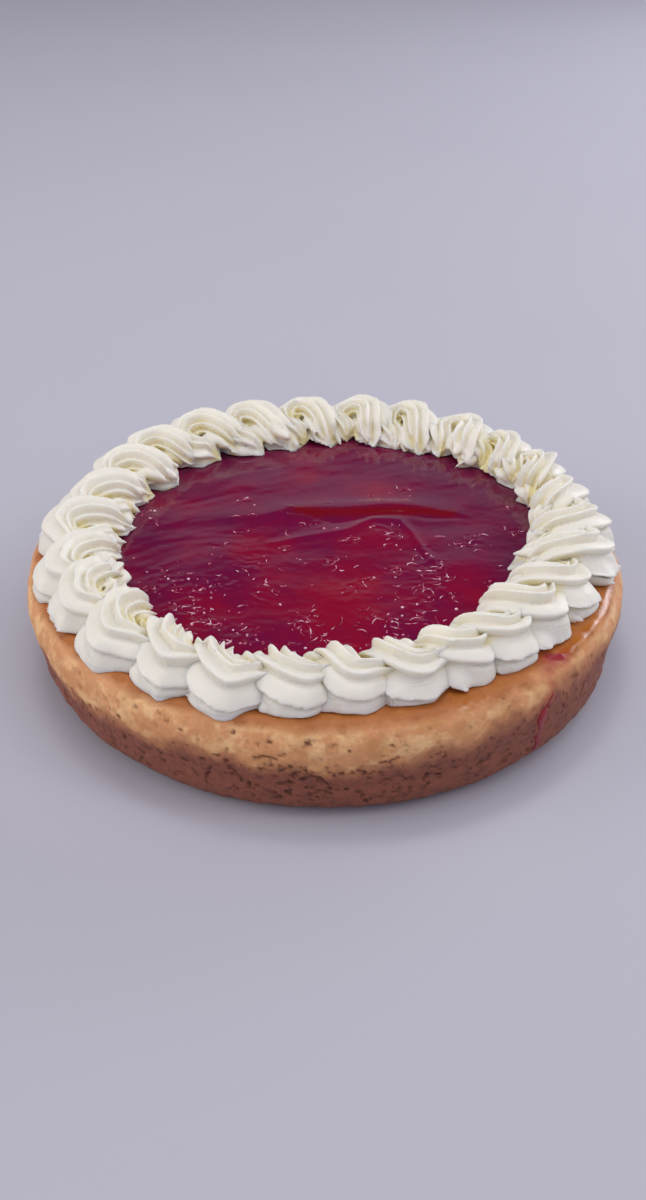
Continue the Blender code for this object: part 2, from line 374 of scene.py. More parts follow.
class Recipe:
    """A material in the making, with a short way to add each usual kind of node."""

    def __init__(self, name: str) -> None:
        """Start the material.

        Args:
            name: what the finish really is.
        """
        self.material = bpy.data.materials.new(name)
        self.material.use_nodes = True
        self.tree = self.material.node_tree
        self.where = add_node(self.tree, "TexCoord").outputs["Object"]

    def noise(self, size: float, detail: float = 2.0, roughness: float = 0.5) -> Socket:
        """Noise whose features are so many millimetres wide."""
        return add_node(self.tree, "TexNoise", {
            "Vector": self.where, "Scale": per_mm(size), "Detail": detail,
            "Roughness": roughness}).outputs["Fac"]

    def painted(self, name: str) -> Socket:
        """A value that is painted on the piece's points."""
        return add_node(self.tree, "Attribute", attribute_name=name).outputs["Fac"]

    def between(self, value: Socket, low: float, high: float, first: float = 0.0,
                last: float = 1.0) -> Socket:
        """Turn a value between low and high into one between first and last."""
        return add_node(self.tree, "MapRange", {0: value, 1: low, 2: high, 3: first,
                                                4: last}).outputs[0]

    def sum_up(self, operation: str, *values: Socket | float) -> Socket:
        """One value worked out from others."""
        return add_node(self.tree, "Math", dict(enumerate(values)),
                        operation=operation).outputs[0]

    def vector(self, operation: str, inputs: dict[str | int, object]) -> Socket:
        """One vector or colour worked out from others."""
        return add_node(self.tree, "VectorMath", inputs, operation=operation).outputs[0]

    def blend(self, share: Socket, one: Socket | str, other: Socket | str) -> Socket:
        """Mix one colour with a share of the other."""
        return add_node(self.tree, "Mix", {0: share, 6: one, 7: other},
                        data_type="RGBA").outputs[2]

    def ramp(self, value: Socket, *stops: tuple[float, str]) -> Socket:
        """Colours that follow a value."""
        return add_node(self.tree, "ValToRGB", {"Fac": value}, stops=stops).outputs[0]

    def bump(self, height: Socket, strength: Socket | float, depth: float) -> Socket:
        """Fine relief so many millimetres deep."""
        return add_node(self.tree, "Bump", {"Strength": strength, "Distance": depth * MM,
                                            "Height": height}).outputs[0]

    def shaded(self, inputs: dict[str, object]) -> bpy.types.Material:
        """Feed the shader's inputs and hand the material over."""
        for name, value in inputs.items():
            feed(self.tree, self.tree.nodes["Principled BSDF"], name, value)
        return self.material


# ---- finishes -------------------------------------------------------------------------
@dataclass(frozen=True)
class BakedCrust:
    """Baked cheesecake: matt and grainy where it lay on the tin, oily and orange on top.

    The skin against the tin bakes brown and dry, so the low side is dark, mottled and rough.
    The free top skin stays smooth, and butter that has risen leaves it glossy.  The brown side
    reaching higher on the right and the darkened holes are partly painted shade.
    """

    low: str = "92523a"
    middle: str = "b87a4f"
    tan: str = "dc9d67"
    high: str = "f2c388"
    speck: str = "68392d"
    # pit: the darker inside of holes and slits, partly painted shade
    pit: str = "63301e"
    blotch: str = "c98a4e"
    rim: str = "c0782f"
    rim_deep: str = "9e5624"
    stain: str = "a8382c"
    matt: float = 0.60
    oily: float = 0.09
    rim_heights: tuple[float, float] = (0.0438, 0.0463)
    rim_waver: float = 0.0060
    pore_size: float = 3.9          # millimetres
    pore_waver: float = 0.0009

    def material(self) -> bpy.types.Material:
        """Build the crust's material.

        Returns:
            A matt brown and golden skin with pores, wet streaks and stains.
        """
        make = Recipe("baked_cheesecake_crust")
        height = add_node(make.tree, "SeparateXYZ", {0: make.where}).outputs["Z"]
        dark, wet = make.painted("baked"), make.painted("wet")
        patches = make.noise(5.0, 6.0, 0.68)
        streaks = make.noise(9.0, 4.0, 0.6)
        specks = make.noise(4.2, 6.0, 0.75)
        grain = make.noise(2.0, 4.0, 0.7)
        blotches = add_node(make.tree, "TexNoise", {
            "Vector": make.where, "Scale": per_mm(12.0), "Detail": 3.0, "W": 3.0},
            noise_dimensions="4D").outputs["Fac"]

        # From pale tan above to brown below, in patches, with paler streaks above; where the
        # brown reaches higher on the right it is partly painted shade.
        shifted = make.sum_up("MULTIPLY_ADD", patches, 0.55, dark)
        baked = make.ramp(shifted, (0.30, self.tan), (0.58, self.middle), (0.95, self.low))
        pale = make.blend(make.between(streaks, 0.46, 0.58), baked, self.high)
        upper = make.between(shifted, 0.50, 0.26)
        body = make.blend(upper, baked, pale)

        # Dark specks low down, a fine grain all over, orange blotches above.
        speck = make.between(specks, 0.50, 0.64, 0.0, 0.85)
        low_speck = make.sum_up("MULTIPLY", speck, make.between(dark, 0.10, 0.75))
        spotted = make.blend(low_speck, body, self.speck)
        grainy = make.vector("SCALE", {0: spotted,
                                       3: make.between(grain, 0.3, 0.7, 0.92, 1.07)})
        blotchy = make.blend(make.between(blotches, 0.52, 0.66, 0.0, 0.65), grainy, self.blotch)
        mottled = make.blend(upper, grainy, blotchy)

        # Small pores in groups, more of them low down, and the sculpted holes, all painted
        # darker:
        # partly their own darker inside, partly painted shade.
        jitter = make.vector("MULTIPLY_ADD", {0: grain.node.outputs["Color"],
                                              1: (self.pore_waver,) * 3, 2: make.where})
        cells = add_node(make.tree, "TexVoronoi", {"Vector": jitter,
                                                   "Scale": per_mm(self.pore_size)})
        pore = make.between(cells.outputs["Distance"], 0.30, 0.15)
        some = make.sum_up("MULTIPLY", pore, make.between(patches, 0.48, 0.55))
        pores = make.sum_up("MULTIPLY", some, make.between(dark, 0.0, 0.7, 0.15, 1.0))
        holes = make.sum_up("MAXIMUM", pores, make.painted("pit"))
        hole_toned_and_shaded = make.blend(holes, mottled, self.pit)

        # The orange rim on top, and what the jam has stained.
        edge = make.sum_up("MULTIPLY_ADD", streaks, self.rim_waver, height)
        rim = make.between(edge, *self.rim_heights)
        rim_colour = make.blend(make.noise(9.0, 3.0), self.rim, self.rim_deep)
        topped = make.blend(rim, hole_toned_and_shaded, rim_colour)
        stained = make.blend(make.painted("stain"), topped, self.stain)

        gloss = make.sum_up("MULTIPLY_ADD", rim, 0.25, wet)
        rough = make.sum_up("MULTIPLY_ADD", specks, 1.8, grain)
        fine = make.sum_up("MULTIPLY_ADD", pores, -1.3, rough)
        calm = make.between(dark, 0.0, 0.6, 0.45, 1.0)
        lively = make.sum_up("MULTIPLY_ADD", wet, -0.35, calm)
        return make.shaded({"Base Color": stained,
                            "Roughness": make.between(gloss, 0.0, 1.0, self.matt, self.oily),
                            "Normal": make.bump(fine, lively, 0.45),
                            "Subsurface Weight": 0.10, "Subsurface Scale": 2.0 * MM,
                            "Subsurface Radius": (1.0, 0.5, 0.25)})


@dataclass(frozen=True)
class StrawberryJam:
    """Boiled strawberry jam, spread while warm: a clear dark red gel with a wet skin.

    It is deep crimson in most places and brighter red towards the front middle.  The slope below
    the fold is painted a purer red where it shows no sheen: painted light.
    """

    thick: str = "65103b"
    deep: str = "700c39"
    clear: str = "7d0b33"
    bright: str = "8a0b2b"
    # fold: a purer red painted on the slope below the fold where it shows no sheen: painted light
    fold: str = "760b1a"
    gloss: float = 0.08
    refraction: float = 1.42

    def material(self) -> bpy.types.Material:
        """Build the jam's material.

        Returns:
            A clear, wet, dark red.
        """
        make = Recipe("spread_strawberry_jam")
        clouds = make.noise(34.0, 4.0, 0.6)
        # Brighter red towards the front middle, from the painted patch.
        shifted = make.sum_up("MULTIPLY_ADD", make.painted("clear"), 0.30, clouds)
        colour = make.ramp(shifted, (0.42, self.thick), (0.56, self.deep),
                           (0.68, self.clear), (0.84, self.bright))
        # Painted light: the slope below the fold gets a purer red where it shows no sheen.
        return make.shaded({"Base Color": make.blend(make.painted("thin"), colour, self.fold),
                            "Roughness": self.gloss, "IOR": self.refraction,
                            "Normal": make.bump(make.noise(3.0), 0.5, 0.10),
                            "Subsurface Weight": 0.15, "Subsurface Scale": 1.5 * MM,
                            "Subsurface Radius": (1.0, 0.15, 0.2)})


@dataclass(frozen=True)
class JamFrothAndGlints:
    """Curls of jam skin full of tiny air bubbles, paler and milkier than the jam itself.

    They form where the boiling jam foamed, and the wet skin over them catches the light.  Their
    pale pink is partly their own milky colour and partly painted highlight.
    """

    # pale and rosy are partly the froth's milky colour and partly painted highlight
    pale: str = "efc6d2"
    rosy: str = "c25878"
    red: str = "8e1438"
    gloss: float = 0.12
    refraction: float = 1.42

    def material(self) -> bpy.types.Material:
        """Build the froth's material.

        Returns:
            A thin pale film.
        """
        make = Recipe("strawberry_jam_froth_glints")
        # Painted highlight: the pale pink stands partly for the glints on the curls.
        colour = make.ramp(make.noise(2.6, 1.0), (0.38, self.red), (0.50, self.rosy),
                           (0.62, self.pale))
        return make.shaded({"Base Color": colour, "Roughness": self.gloss,
                            "IOR": self.refraction})


@dataclass(frozen=True)
class WhippedCream:
    """Whipped cream pressed through a star nozzle: dense, satin and very slightly see-through.

    Light goes a few millimetres into it, so shadows stay soft.  The pale yellow painted into the
    hollows between the arms of a swirl, where light has passed through much cream, is painted
    shade.
    """

    lit: str = "eeebdc"
    shade: str = "e7e4d6"
    # pale yellow painted into the hollows between the arms: painted shade
    hollow_shade: str = "e9dda4"
    satin: float = 0.42
    refraction: float = 1.45

    def material(self) -> bpy.types.Material:
        """Build the cream's material.

        Returns:
            A soft warm white.
        """
        make = Recipe("piped_whipped_cream")
        body = make.blend(make.noise(12.0), self.lit, self.shade)
        # Painted shade: the hollows between the arms are painted pale yellow.
        return make.shaded({"Base Color": make.blend(make.painted("hollow_shade"), body, self.hollow_shade),
                            "Roughness": self.satin, "IOR": self.refraction,
                            "Normal": make.bump(make.noise(1.1, 3.0, 0.6), 0.25, 0.15),
                            "Subsurface Weight": 0.55, "Subsurface Scale": 4.0 * MM,
                            "Subsurface Radius": (1.0, 0.85, 0.6)})


@dataclass(frozen=True)
class TableTop:
    """A plain pale painted table, a little rough, so it holds only soft shadows."""

    paint: str = "bcbcc4"
    cloud: str = "b7b7c0"
    matt: float = 0.7

    def material(self) -> bpy.types.Material:
        """Build the table's material.

        Returns:
            A plain pale grey.
        """
        make = Recipe("painted_table_top")
        colour = make.blend(make.noise(300.0), self.paint, self.cloud)
        return make.shaded({"Base Color": colour, "Roughness": self.matt})


# ---- cheesecake -----------------------------------------------------------------------
@dataclass(frozen=True)
class Pit:
    """A small hole in the baked skin: where it is, how wide and deep, and how dark inside, partly
    its own darker tone and partly painted shade.
    """

    turn: float
    height: float
    width: float
    depth: float
    dark: float


@dataclass
class Cheesecake:
    """The uncut cake: a turned body with the unevenness that baking leaves on its side."""

    radius: float = 0.125
    height: float = 0.044
    base_radius: float = 0.112
    foot_width: float = 0.0107      # from the base out to the steep side
    foot_rise: float = 0.0162
    widest_height: float = 0.0317
    shoulder_round: float = 0.0075
    wave: float = 0.0008
    lean: float = 0.0010
    swells: tuple[tuple[int, float], ...] = ((3, 0.4), (5, 2.1), (8, 4.0))
    segments: int = 1080
    arc_steps: int = 400
    grid: float = 0.82 * MM
    bare_top: float = 0.106         # the top is left coarse inside this radius
    seed: int = 5
    # Turn, height and width in millimetres of the holes that stand out, pale and dark inside.
    pale_pits: Keys = (
        (-16, 27, 1.6), (-14.8, 39.2, 1.5), (-8.8, 37.5, 1.7), (-6.3, 33.1, 1.3),
        (-2.5, 37.7, 2.3), (-7, 28, 1.3), (4, 35, 1.3), (11, 36, 1.4),
        (83.9, 41, 1.4), (51.8, 42.2, 1.3), (-24, 36, 1.3), (-33, 38, 1.6))
    dark_pits: Keys = (
        (-6.5, 19.3, 2.4), (-12.9, 16.4, 2.0), (-7.2, 25.3, 2.2), (2.6, 24.5, 2.1),
        (4.4, 24.3, 1.7), (9.2, 28.6, 1.4), (60.7, 34.3, 1.3), (31.7, 41.5, 1.2),
        (45.4, 31.7, 1.3), (-1, 21.5, 1.5), (18, 18, 1.4), (23, 22, 1.2))
    # Widening, depth in millimetres and painted darkness of the pale and of the dark ones; the
    # darkness is partly their darker inside, partly painted shade.
    pale_form: tuple[float, float, float] = (1.25, 1.1, 0.75)
    dark_form: tuple[float, float, float] = (1.0, 1.0, 1.0)
    # Scattered holes: how many, round which turn, how far from it, lowest and highest.
    scattered_pits: Keys = ((90, 2.0, 18.0, 9.0, 29.0), (420, 0.0, 180.0, 6.0, 40.0))
    pit_widths: tuple[float, float] = (0.8, 2.1)
    pit_slopes: tuple[float, float] = (0.25, 0.5)
    # Turn and height in millimetres of both ends of each torn slit that stands out.
    slits: tuple[Keys, ...] = (
        ((-19.2, 21.5), (-20.4, 12.5)), ((-15.6, 24.0), (-14.0, 17.5)),
        ((-2.2, 24.5), (0.6, 18.5)), ((9.4, 28.5), (11.9, 29.7)),
        ((-11.0, 30.5), (-8.0, 31.6)), ((27.0, 16.0), (30.0, 19.0)))
    scattered_slits: int = 60
    slit_steps: int = 5
    slit_width: float = 0.55 * MM
    # Slits are painted this dark, partly their darker inside and partly painted shade.
    slit_tone_and_shade: float = 0.9
    # Turn, radius and height of each spot stained by jam, its width in millimetres, its strength.
    stains: Keys = (
        (45.5, 0.1175, 0.0438, 4.5, 0.90), (47.8, 0.1200, 0.0430, 3.6, 0.8),
        (43.5, 0.1210, 0.0425, 3.2, 0.6), (42.4, 0.1240, 0.0380, 2.8, 0.45),
        (41.6, 0.1248, 0.0335, 2.8, 0.55), (40.0, 0.1250, 0.0290, 3.2, 0.70),
        (40.1, 0.1245, 0.0235, 2.8, 0.60), (40.5, 0.1232, 0.0170, 2.6, 0.60),
        (40.7, 0.1220, 0.0120, 2.6, 0.55), (40.9, 0.1205, 0.0080, 2.8, 0.60))
    wavy_turn: float = -62.0        # the side is wavy on the left and dented below the rim
    wavy_spread: float = 34.0
    dented_height: float = 37 * MM
    dented_band: float = 6 * MM
    wet_turn: float = 60.0          # where butter lies on the rim
    wet_reach: float = 34 * MM
    wet_share: float = 0.85
    wet_spot: tuple[float, float, float] = (25.0, 0.1195, 0.0425)
    wet_spot_width: float = 6 * MM
    # The side is dark up to a height in millimetres, higher at two turns and over so many
    # degrees, with tongues at its edge.  It fades over so many millimetres, over more at the
    # first of the two turns.  The dark is baked brown, and where it rises on the right it is also
    # painted shade.
    dark_height: float = 24.5
    dark_rises: Keys = ((6.5, 42.0, 28.0), (1.5, -40.0, 20.0))
    dark_tongues: tuple = ((6.0, (0.017, 0.017, 0.024)), (2.6, (0.006, 0.006, 0.011)))
    fading: tuple[float, float] = (15.0, 8.0)

    def side_radius(self, height: Points | float) -> Points | float:
        """Radius of the plain side at a height.

        Args:
            height: Height or heights above the table.

        Returns:
            The radius at each height.
        """
        foot = self.base_radius + self.foot_width
        low = 1.0 - np.clip(height / self.foot_rise, 0.0, 1.0)
        middle = np.clip((height - self.foot_rise) / (self.widest_height - self.foot_rise),
                         0.0, 1.0)
        over = np.clip((height - self.widest_height) / (self.height - self.widest_height),
                       0.0, 1.0)
        reach = self.base_radius + self.foot_width * np.sqrt(1.0 - low * low)
        reach = np.where(height > self.foot_rise,
                         foot + (self.radius - foot) * np.sin(middle * math.pi / 2.0), reach)
        return reach - self.shoulder_round * (1.0 - np.sqrt(1.0 - over * over))

    def top_height(self, radius: Points) -> Points:
        """Height of the cake's upper skin at a radius."""
        out = np.clip((radius - self.radius + self.shoulder_round) / self.shoulder_round,
                      0.0, 1.0)
        return self.widest_height + (self.height - self.widest_height) * np.sqrt(1.0 - out ** 2)

    def outline(self) -> list[tuple[float, float]]:
        """Half of the cake's section, evenly stepped, from the middle of the base to the top.

        Returns:
            Pairs of a radius and a height.
        """
        rough = []
        for step in range(0, self.arc_steps + 1):
            turn = math.radians(90.0 * step / self.arc_steps)
            rough.append((self.base_radius + self.foot_width * math.sin(turn),
                          self.foot_rise * (1.0 - math.cos(turn))))
        for step in range(1, self.arc_steps + 1):
            height = (self.foot_rise
                      + (self.widest_height - self.foot_rise) * step / self.arc_steps)
            rough.append((float(self.side_radius(height)), height))
        for step in range(1, self.arc_steps + 1):
            turn = math.radians(90.0 * step / self.arc_steps)
            rough.append((self.radius - self.shoulder_round * (1.0 - math.cos(turn)),
                          self.widest_height
                          + (self.height - self.widest_height) * math.sin(turn)))
        rough.append((self.bare_top, self.height))
        line = np.array(rough)
        steps = np.hypot(*np.diff(line, axis=0).T)
        along = np.concatenate(([0.0], np.cumsum(steps)))
        even = np.linspace(0.0, along[-1], round(along[-1] / self.grid) + 1)
        radii, heights = (np.interp(even, along, line[:, axis]) for axis in (0, 1))
        return [(0.0, 0.0), *zip(radii.tolist(), heights.tolist()), (0.0, self.height)]

    def turned(self) -> bpy.types.Object:
        """The plain body: the outline drawn point by point and spun about the upright.

        Returns:
            The body, before any wave or pit.
        """
        outline = self.outline()
        bpy.ops.mesh.primitive_plane_add(size=1.0 * MM, location=(0.0, 0.0, 0.0))
        piece = fresh("cheesecake_crust")
        with edit_mode(piece):
            bpy.ops.mesh.merge(type="CENTER")
            for (radius, height), (further, higher) in zip(outline, outline[1:]):
                bpy.ops.mesh.extrude_region_move(TRANSFORM_OT_translate={
                    "value": (0.0, radius - further, higher - height)})
            bpy.ops.mesh.select_all(action="SELECT")
            bpy.ops.mesh.spin(steps=self.segments, angle=2.0 * math.pi, center=(0.0, 0.0, 0.0),
                              axis=(0.0, 0.0, 1.0))
        tidy_mesh(piece)
        return piece

    def swollen(self, points: Points) -> Points:
        """The slow swells of the side and the lean of its foot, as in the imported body.

        Args:
            points: Points of the plain body.

        Returns:
            The same points, moved.
        """
        up = points[:, 2] / self.height
        turn = np.radians(turn_of(points))
        waves = sum(np.sin(count * (turn + up) + phase) for count, phase in self.swells)
        push = self.wave * np.sin(np.pi * up) * waves / len(self.swells)
        moved = points.copy()
        moved[:, 0] += push * np.sin(turn) + self.lean * (1.0 - up) * (points[:, 2] > 0.0)
        moved[:, 1] -= push * np.cos(turn)
        return moved

    def pits(self) -> list[Pit]:
        """Every hole in the skin: the ones that stand out, then the scattered ones.

        Returns:
            The pits, in the order in which they were drawn.
        """
        found = [Pit(turn, height * MM, widening * width * MM, depth * MM, dark)
                 for table, (widening, depth, dark) in ((self.pale_pits, self.pale_form),
                                                        (self.dark_pits, self.dark_form))
                 for turn, height, width in table]
        chance = random.Random(self.seed)
        for count, middle, spread, low, high in self.scattered_pits:
            for _ in range(count):
                turn = middle + spread * chance.uniform(-1.0, 1.0)
                height = chance.uniform(low, high) * MM
                width = chance.uniform(*self.pit_widths) * MM
                depth = width * chance.uniform(*self.pit_slopes)
                dark = 0.95 - 0.6 * float(blend_in(height, 22 * MM, 34 * MM))
                found.append(Pit(turn, height, width, depth, dark))
        return found

    def cracks(self) -> list[list[Vector]]:
        """Jagged slits, each a chain of points on the side.

        Returns:
            One chain for each slit.
        """
        chance = random.Random(self.seed + 1)
        ends = list(self.slits)
        for _ in range(self.scattered_slits):
            turn, height = chance.uniform(-180.0, 180.0), chance.uniform(9.0, 30.0)
            ends.append(((turn, height), (turn + chance.uniform(-1.2, 1.2),
                                          height + chance.uniform(-3.5, 3.5))))
        chains = []
        for (turn_a, height_a), (turn_b, height_b) in ends:
            chain = []
            for step in range(self.slit_steps + 1):
                part = step / self.slit_steps
                turn = turn_a + (turn_b - turn_a) * part + chance.uniform(-0.45, 0.45)
                height = (height_a + (height_b - height_a) * part
                          + chance.uniform(-0.7, 0.7)) * MM
                chain.append(place_at(turn, float(self.side_radius(height)), height))
            chains.append(chain)
        return chains

    def relief(self, plain: Points) -> Points:
        """How far the baked skin stands out, from slow waves down to crumbs.

        Args:
            plain: the points of the turned body.

        Returns:
            Metres along the normal.  The left side is the most wavy, the lower side the most
            crumbly, the foot ragged, and a band below the rim is dented.
        """
        height = plain[:, 2]
        left = bell(turn_of(plain) - self.wavy_turn, self.wavy_spread)
        low_down = blend_in(height, 34 * MM, 12 * MM)
        dented = bell(height - self.dented_height, self.dented_band)
        foot = blend_in(height, 7 * MM, 0.0)
        return MM * layered(plain, ((0.50, (0.022, 0.022, 0.016)),
                                    (0.14 + 0.30 * left, (0.009, 0.009, 0.020)),
                                    (0.14 + 0.22 * low_down + 0.20 * dented, 0.0045),
                                    (0.07 + 0.20 * low_down, 0.0023),
                                    (0.30 * foot, (0.0035, 0.0035, 0.0025))), 1)

    def opened(self, plain: Points, push: Points, ragged: Points) -> tuple[Points, Points]:
        """Sink the holes and the slits.

        Args:
            plain: the points of the turned body.
            push: how far each point stands out so far.
            ragged: fine noise that makes the holes' edges uneven.

        Returns:
            The new push, and how dark each point is painted: partly the darker inside of the
            holes and slits, partly painted shade in them.
        """
        pit_tone_and_shade = np.zeros(len(plain))
        for pit in self.pits():
            middle = np.array(place_at(pit.turn, float(self.side_radius(pit.height)), pit.height))
            away = plain - middle
            near = np.abs(away).max(axis=1) < 2.5 * pit.width
            flattened = away[near] * (1.0, 1.0, 1.35)
            distance = np.linalg.norm(flattened, axis=1) / (0.5 * pit.width)
            distance *= 1.0 + 0.9 * ragged[near]
            inside = ease(1.35 - distance)
            push[near] -= pit.depth * inside
            pit_tone_and_shade[near] = np.maximum(pit_tone_and_shade[near], pit.dark * inside)
        for chain in self.cracks():
            for start, end in zip(chain, chain[1:]):
                distance = line_gap(plain, np.array(start), np.array(end))
                inside = ease(1.3 - distance / self.slit_width)
                push = np.minimum(push, push - self.slit_width * inside)
                pit_tone_and_shade = np.maximum(pit_tone_and_shade, self.slit_tone_and_shade * inside)
        return push, pit_tone_and_shade

    def weathered(self, piece: bpy.types.Object) -> None:
        """Sculpt the baked relief and paint the skin's holes, dark side, wet and stains, partly
        as
        painted shade: in the holes and slits, and where the brown reaches higher on the right.

        Args:
            piece: The plain body, which is changed.
        """
        plain = read_points(piece)
        radius, height = np.hypot(plain[:, 0], plain[:, 1]), plain[:, 2]
        on_side = blend_in(radius, 111.5 * MM, 113 * MM) * (height > 0.0)
        ragged = noise_at(plain, 0.0012, 6)
        push, pit_tone_and_shade = self.opened(plain, self.relief(plain), ragged)
        moved = self.swollen(plain) + read_normals(piece) * (push * on_side)[:, None]
        moved[:, 2] = np.where(height > 0.0, np.maximum(moved[:, 2], 0.0), 0.0)
        write_points(piece, moved)
        # Holes and slits painted darker: partly their darker inside, partly painted shade.
        paint(piece, "pit", pit_tone_and_shade * on_side)

        # Painted brown of the baked side; where it rises on the right it is partly painted shade.
        turn = turn_of(plain)
        border = self.dark_height + layered(plain, self.dark_tongues, 11)
        for rise, middle, width in self.dark_rises:
            border += rise * bell(turn - middle, width)
        _, middle, width = self.dark_rises[0]
        soft = self.fading[0] + self.fading[1] * bell(turn - middle, width)
        paint(piece, "baked", ease((border * MM - height) / (soft * MM) + 0.5))

        across = np.radians(np.abs(turn - self.wet_turn)) * radius
        wet = (self.wet_share * blend_in(across, self.wet_reach, 20 * MM)
               * blend_in(height, 38 * MM, 41 * MM))
        spot = np.linalg.norm(plain - np.array(place_at(*self.wet_spot)), axis=1)
        paint(piece, "wet", np.maximum(wet, bell(spot, self.wet_spot_width)))

        stain = np.zeros(len(plain))
        for turn_at, radius_at, height_at, width, strength in self.stains:
            distance = np.linalg.norm(plain - np.array(place_at(turn_at, radius_at, height_at)),
                                      axis=1) * (1.0 + 0.4 * ragged)
            stain = np.maximum(stain, strength * bell(distance, width * MM))
        paint(piece, "stain", stain)

    def build(self, finish: BakedCrust) -> bpy.types.Object:
        """Make the cake body.

        Args:
            finish: the crust's finish.

        Returns:
            The dressed piece.
        """
        piece = self.turned()
        self.weathered(piece)
        finish_piece(piece, finish.material(), Slot.CHEESECAKE, "cheesecake_body")
        return piece


# ---- jam ------------------------------------------------------------------------------
@dataclass
class JamLayer:
    """The jam on the cake's top: a thin disc with swells, one long fold, ripples and froth."""

    radius: float = 0.0960
    bottom: float = 0.0443
    thickness: float = 0.0025
    rounding: float = 0.0012
    wave: float = 0.0005
    fold_away: float = 0.020
    fold_length: float = 0.045
    fold_width: float = 0.006
    cells: int = 306
    seed: int = 11
    # Lines over the jam, in millimetres to the right of its middle and to the back of it: the
    # broad ridge, the crease beside it, the lip of the fold, and the slope below, painted a purer
    # red
    # where it shows no sheen: painted light.
    ridge: Keys = ((-24, 23), (-8, 26), (10, 27), (33, 25.5), (62, 19))
    crease: Keys = (
        (-16, 19), (-9, 17.4), (3, 10.6), (11, 12.3), (24, 15), (39, 17.5), (59, 16))
    lip: Keys = ((-22, -3), (-10.5, -0.2), (0.5, 2.3), (11, 4.8), (21.6, 12), (32, 11.5),
                 (38, 3), (43, -18))
    slope: Keys = ((-11, 20.5), (-2, 18.5), (11, 18.5), (25, 20), (40, 20.5), (54, 18.5))
    # Rise and width in millimetres of the ridge, the crease and the lip.
    ridge_form: tuple[float, float] = (0.70, 7.0)
    crease_form: tuple[float, float] = (-0.40, 2.6)
    lip_form: tuple[float, float] = (0.42, 2.2)
    slope_width: float = 3.7 * MM
    waver: float = 4 * MM           # bends every line and ripple a little
    waver_size: float = 0.02
    ripple_slant: float = 24.0
    froth_rise: float = 0.22 * MM
    front_red_patch: tuple[float, float, float] = (8.0, -38.0, 46.0)   # right, back, millimetres wide
    # The patches of froth that stand out: right, back and width in millimetres.
    froth: Keys = (
        (43, -27, 5), (41, -34, 6), (42, -41, 6), (46, -40, 5), (37, -51, 6), (37, -59, 5),
        (38, -63, 5), (-16, -7, 4), (-7, -65, 6), (-5, -69, 5), (-57, -57, 6),
        (-47, -60, 6), (28, 1, 4), (2.5, -21, 4), (-28, -74, 6), (-31, -72, 6),
        (8, -78, 5), (18, -62, 4), (27, -67, 4), (-15, 24, 3), (3, 25, 3), (-30, -22, 6),
        (-40, -36, 7), (-52, -44, 7), (-26, -46, 6), (-62, -34, 6), (12, -38, 5))
    stray_froth: int = 90

    def swell(self, across: Points, away: Points) -> Points:
        """Height of the slow swells and the fold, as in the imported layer.

        Args:
            across: Places to the right of the middle.
            away: Places behind the middle.

        Returns:
            A height for each place, above or below the even top.
        """
        broad = np.sin(across / 0.016 + 1.0) * np.sin(away / 0.0125 + 0.4)
        slanting = np.sin(across / 0.0085 - away / 0.0175)
        off_line = away - self.fold_away - 0.10 * across
        fold = bell(off_line, self.fold_width) * bell(across, self.fold_length)
        return self.wave * (0.5 * broad + 0.3 * slanting + 1.6 * fold)

    def top(self, across: Points, away: Points) -> Points:
        """Height of the smooth top of the jam at a place.

        Args:
            across: Places to the right of the middle.
            away: Places behind the middle.

        Returns:
            A height above the table for each place.
        """
        part = np.clip(1.0 - np.hypot(across, away) / (self.radius - self.rounding), 0.0, 1.0)
        over = np.clip((np.hypot(across, away) - self.radius + self.rounding) / self.rounding,
                       0.0, 1.0)
        rounded = self.rounding * (1.0 - np.sqrt(1.0 - over * over))
        return (self.bottom + self.thickness - rounded
                + ease(part * 3.0) * self.swell(across, away))

    def flat_disc(self) -> bpy.types.Object:
        """A disc of even square cells, its edge drawn down and closed underneath.

        Returns:
            The disc.
        """
        bpy.ops.mesh.primitive_grid_add(x_subdivisions=self.cells, y_subdivisions=self.cells,
                                        size=2.0)
        piece = fresh("jam_spread")
        square = read_points(piece)
        wide, far = square[:, 0], square[:, 1]
        reach = np.maximum(np.abs(wide), np.abs(far))
        safe = np.maximum(reach, 1e-9)
        side_on = np.abs(wide) >= np.abs(far)
        lean = np.where(side_on, far, wide) / safe * math.pi / 4.0
        along, aside = reach * np.cos(lean), reach * np.sin(lean)
        disc = np.empty_like(square)
        disc[:, 0] = np.where(side_on, np.sign(wide) * along, aside)
        disc[:, 1] = np.where(side_on, aside, np.sign(far) * along)
        disc[:, :2] *= self.radius
        disc[:, 2] = self.bottom + self.thickness
        write_points(piece, disc)
        with edit_mode(piece):
            bpy.ops.mesh.select_all(action="DESELECT")
            bpy.ops.mesh.select_mode(type="EDGE")
            bpy.ops.mesh.select_non_manifold()
            bpy.ops.mesh.extrude_region_move(TRANSFORM_OT_translate={
                "value": (0.0, 0.0, -self.thickness)})
            bpy.ops.mesh.edge_face_add()
            bpy.ops.mesh.select_mode(type="VERT")
        return piece

    def line_distance(self, points: Points, line: Keys) -> Points:
        """Distance over the jam from each point to a line given in millimetres.

        Args:
            points: Points of the jam.
            line: The line's corners.

        Returns:
            One distance for each point.
        """
        nearest = np.full(len(points), 1.0)
        for start, end in zip(line, line[1:]):
            gap = line_gap(points[:, :2], np.array(start) * MM, np.array(end) * MM)
            nearest = np.minimum(nearest, gap)
        return nearest

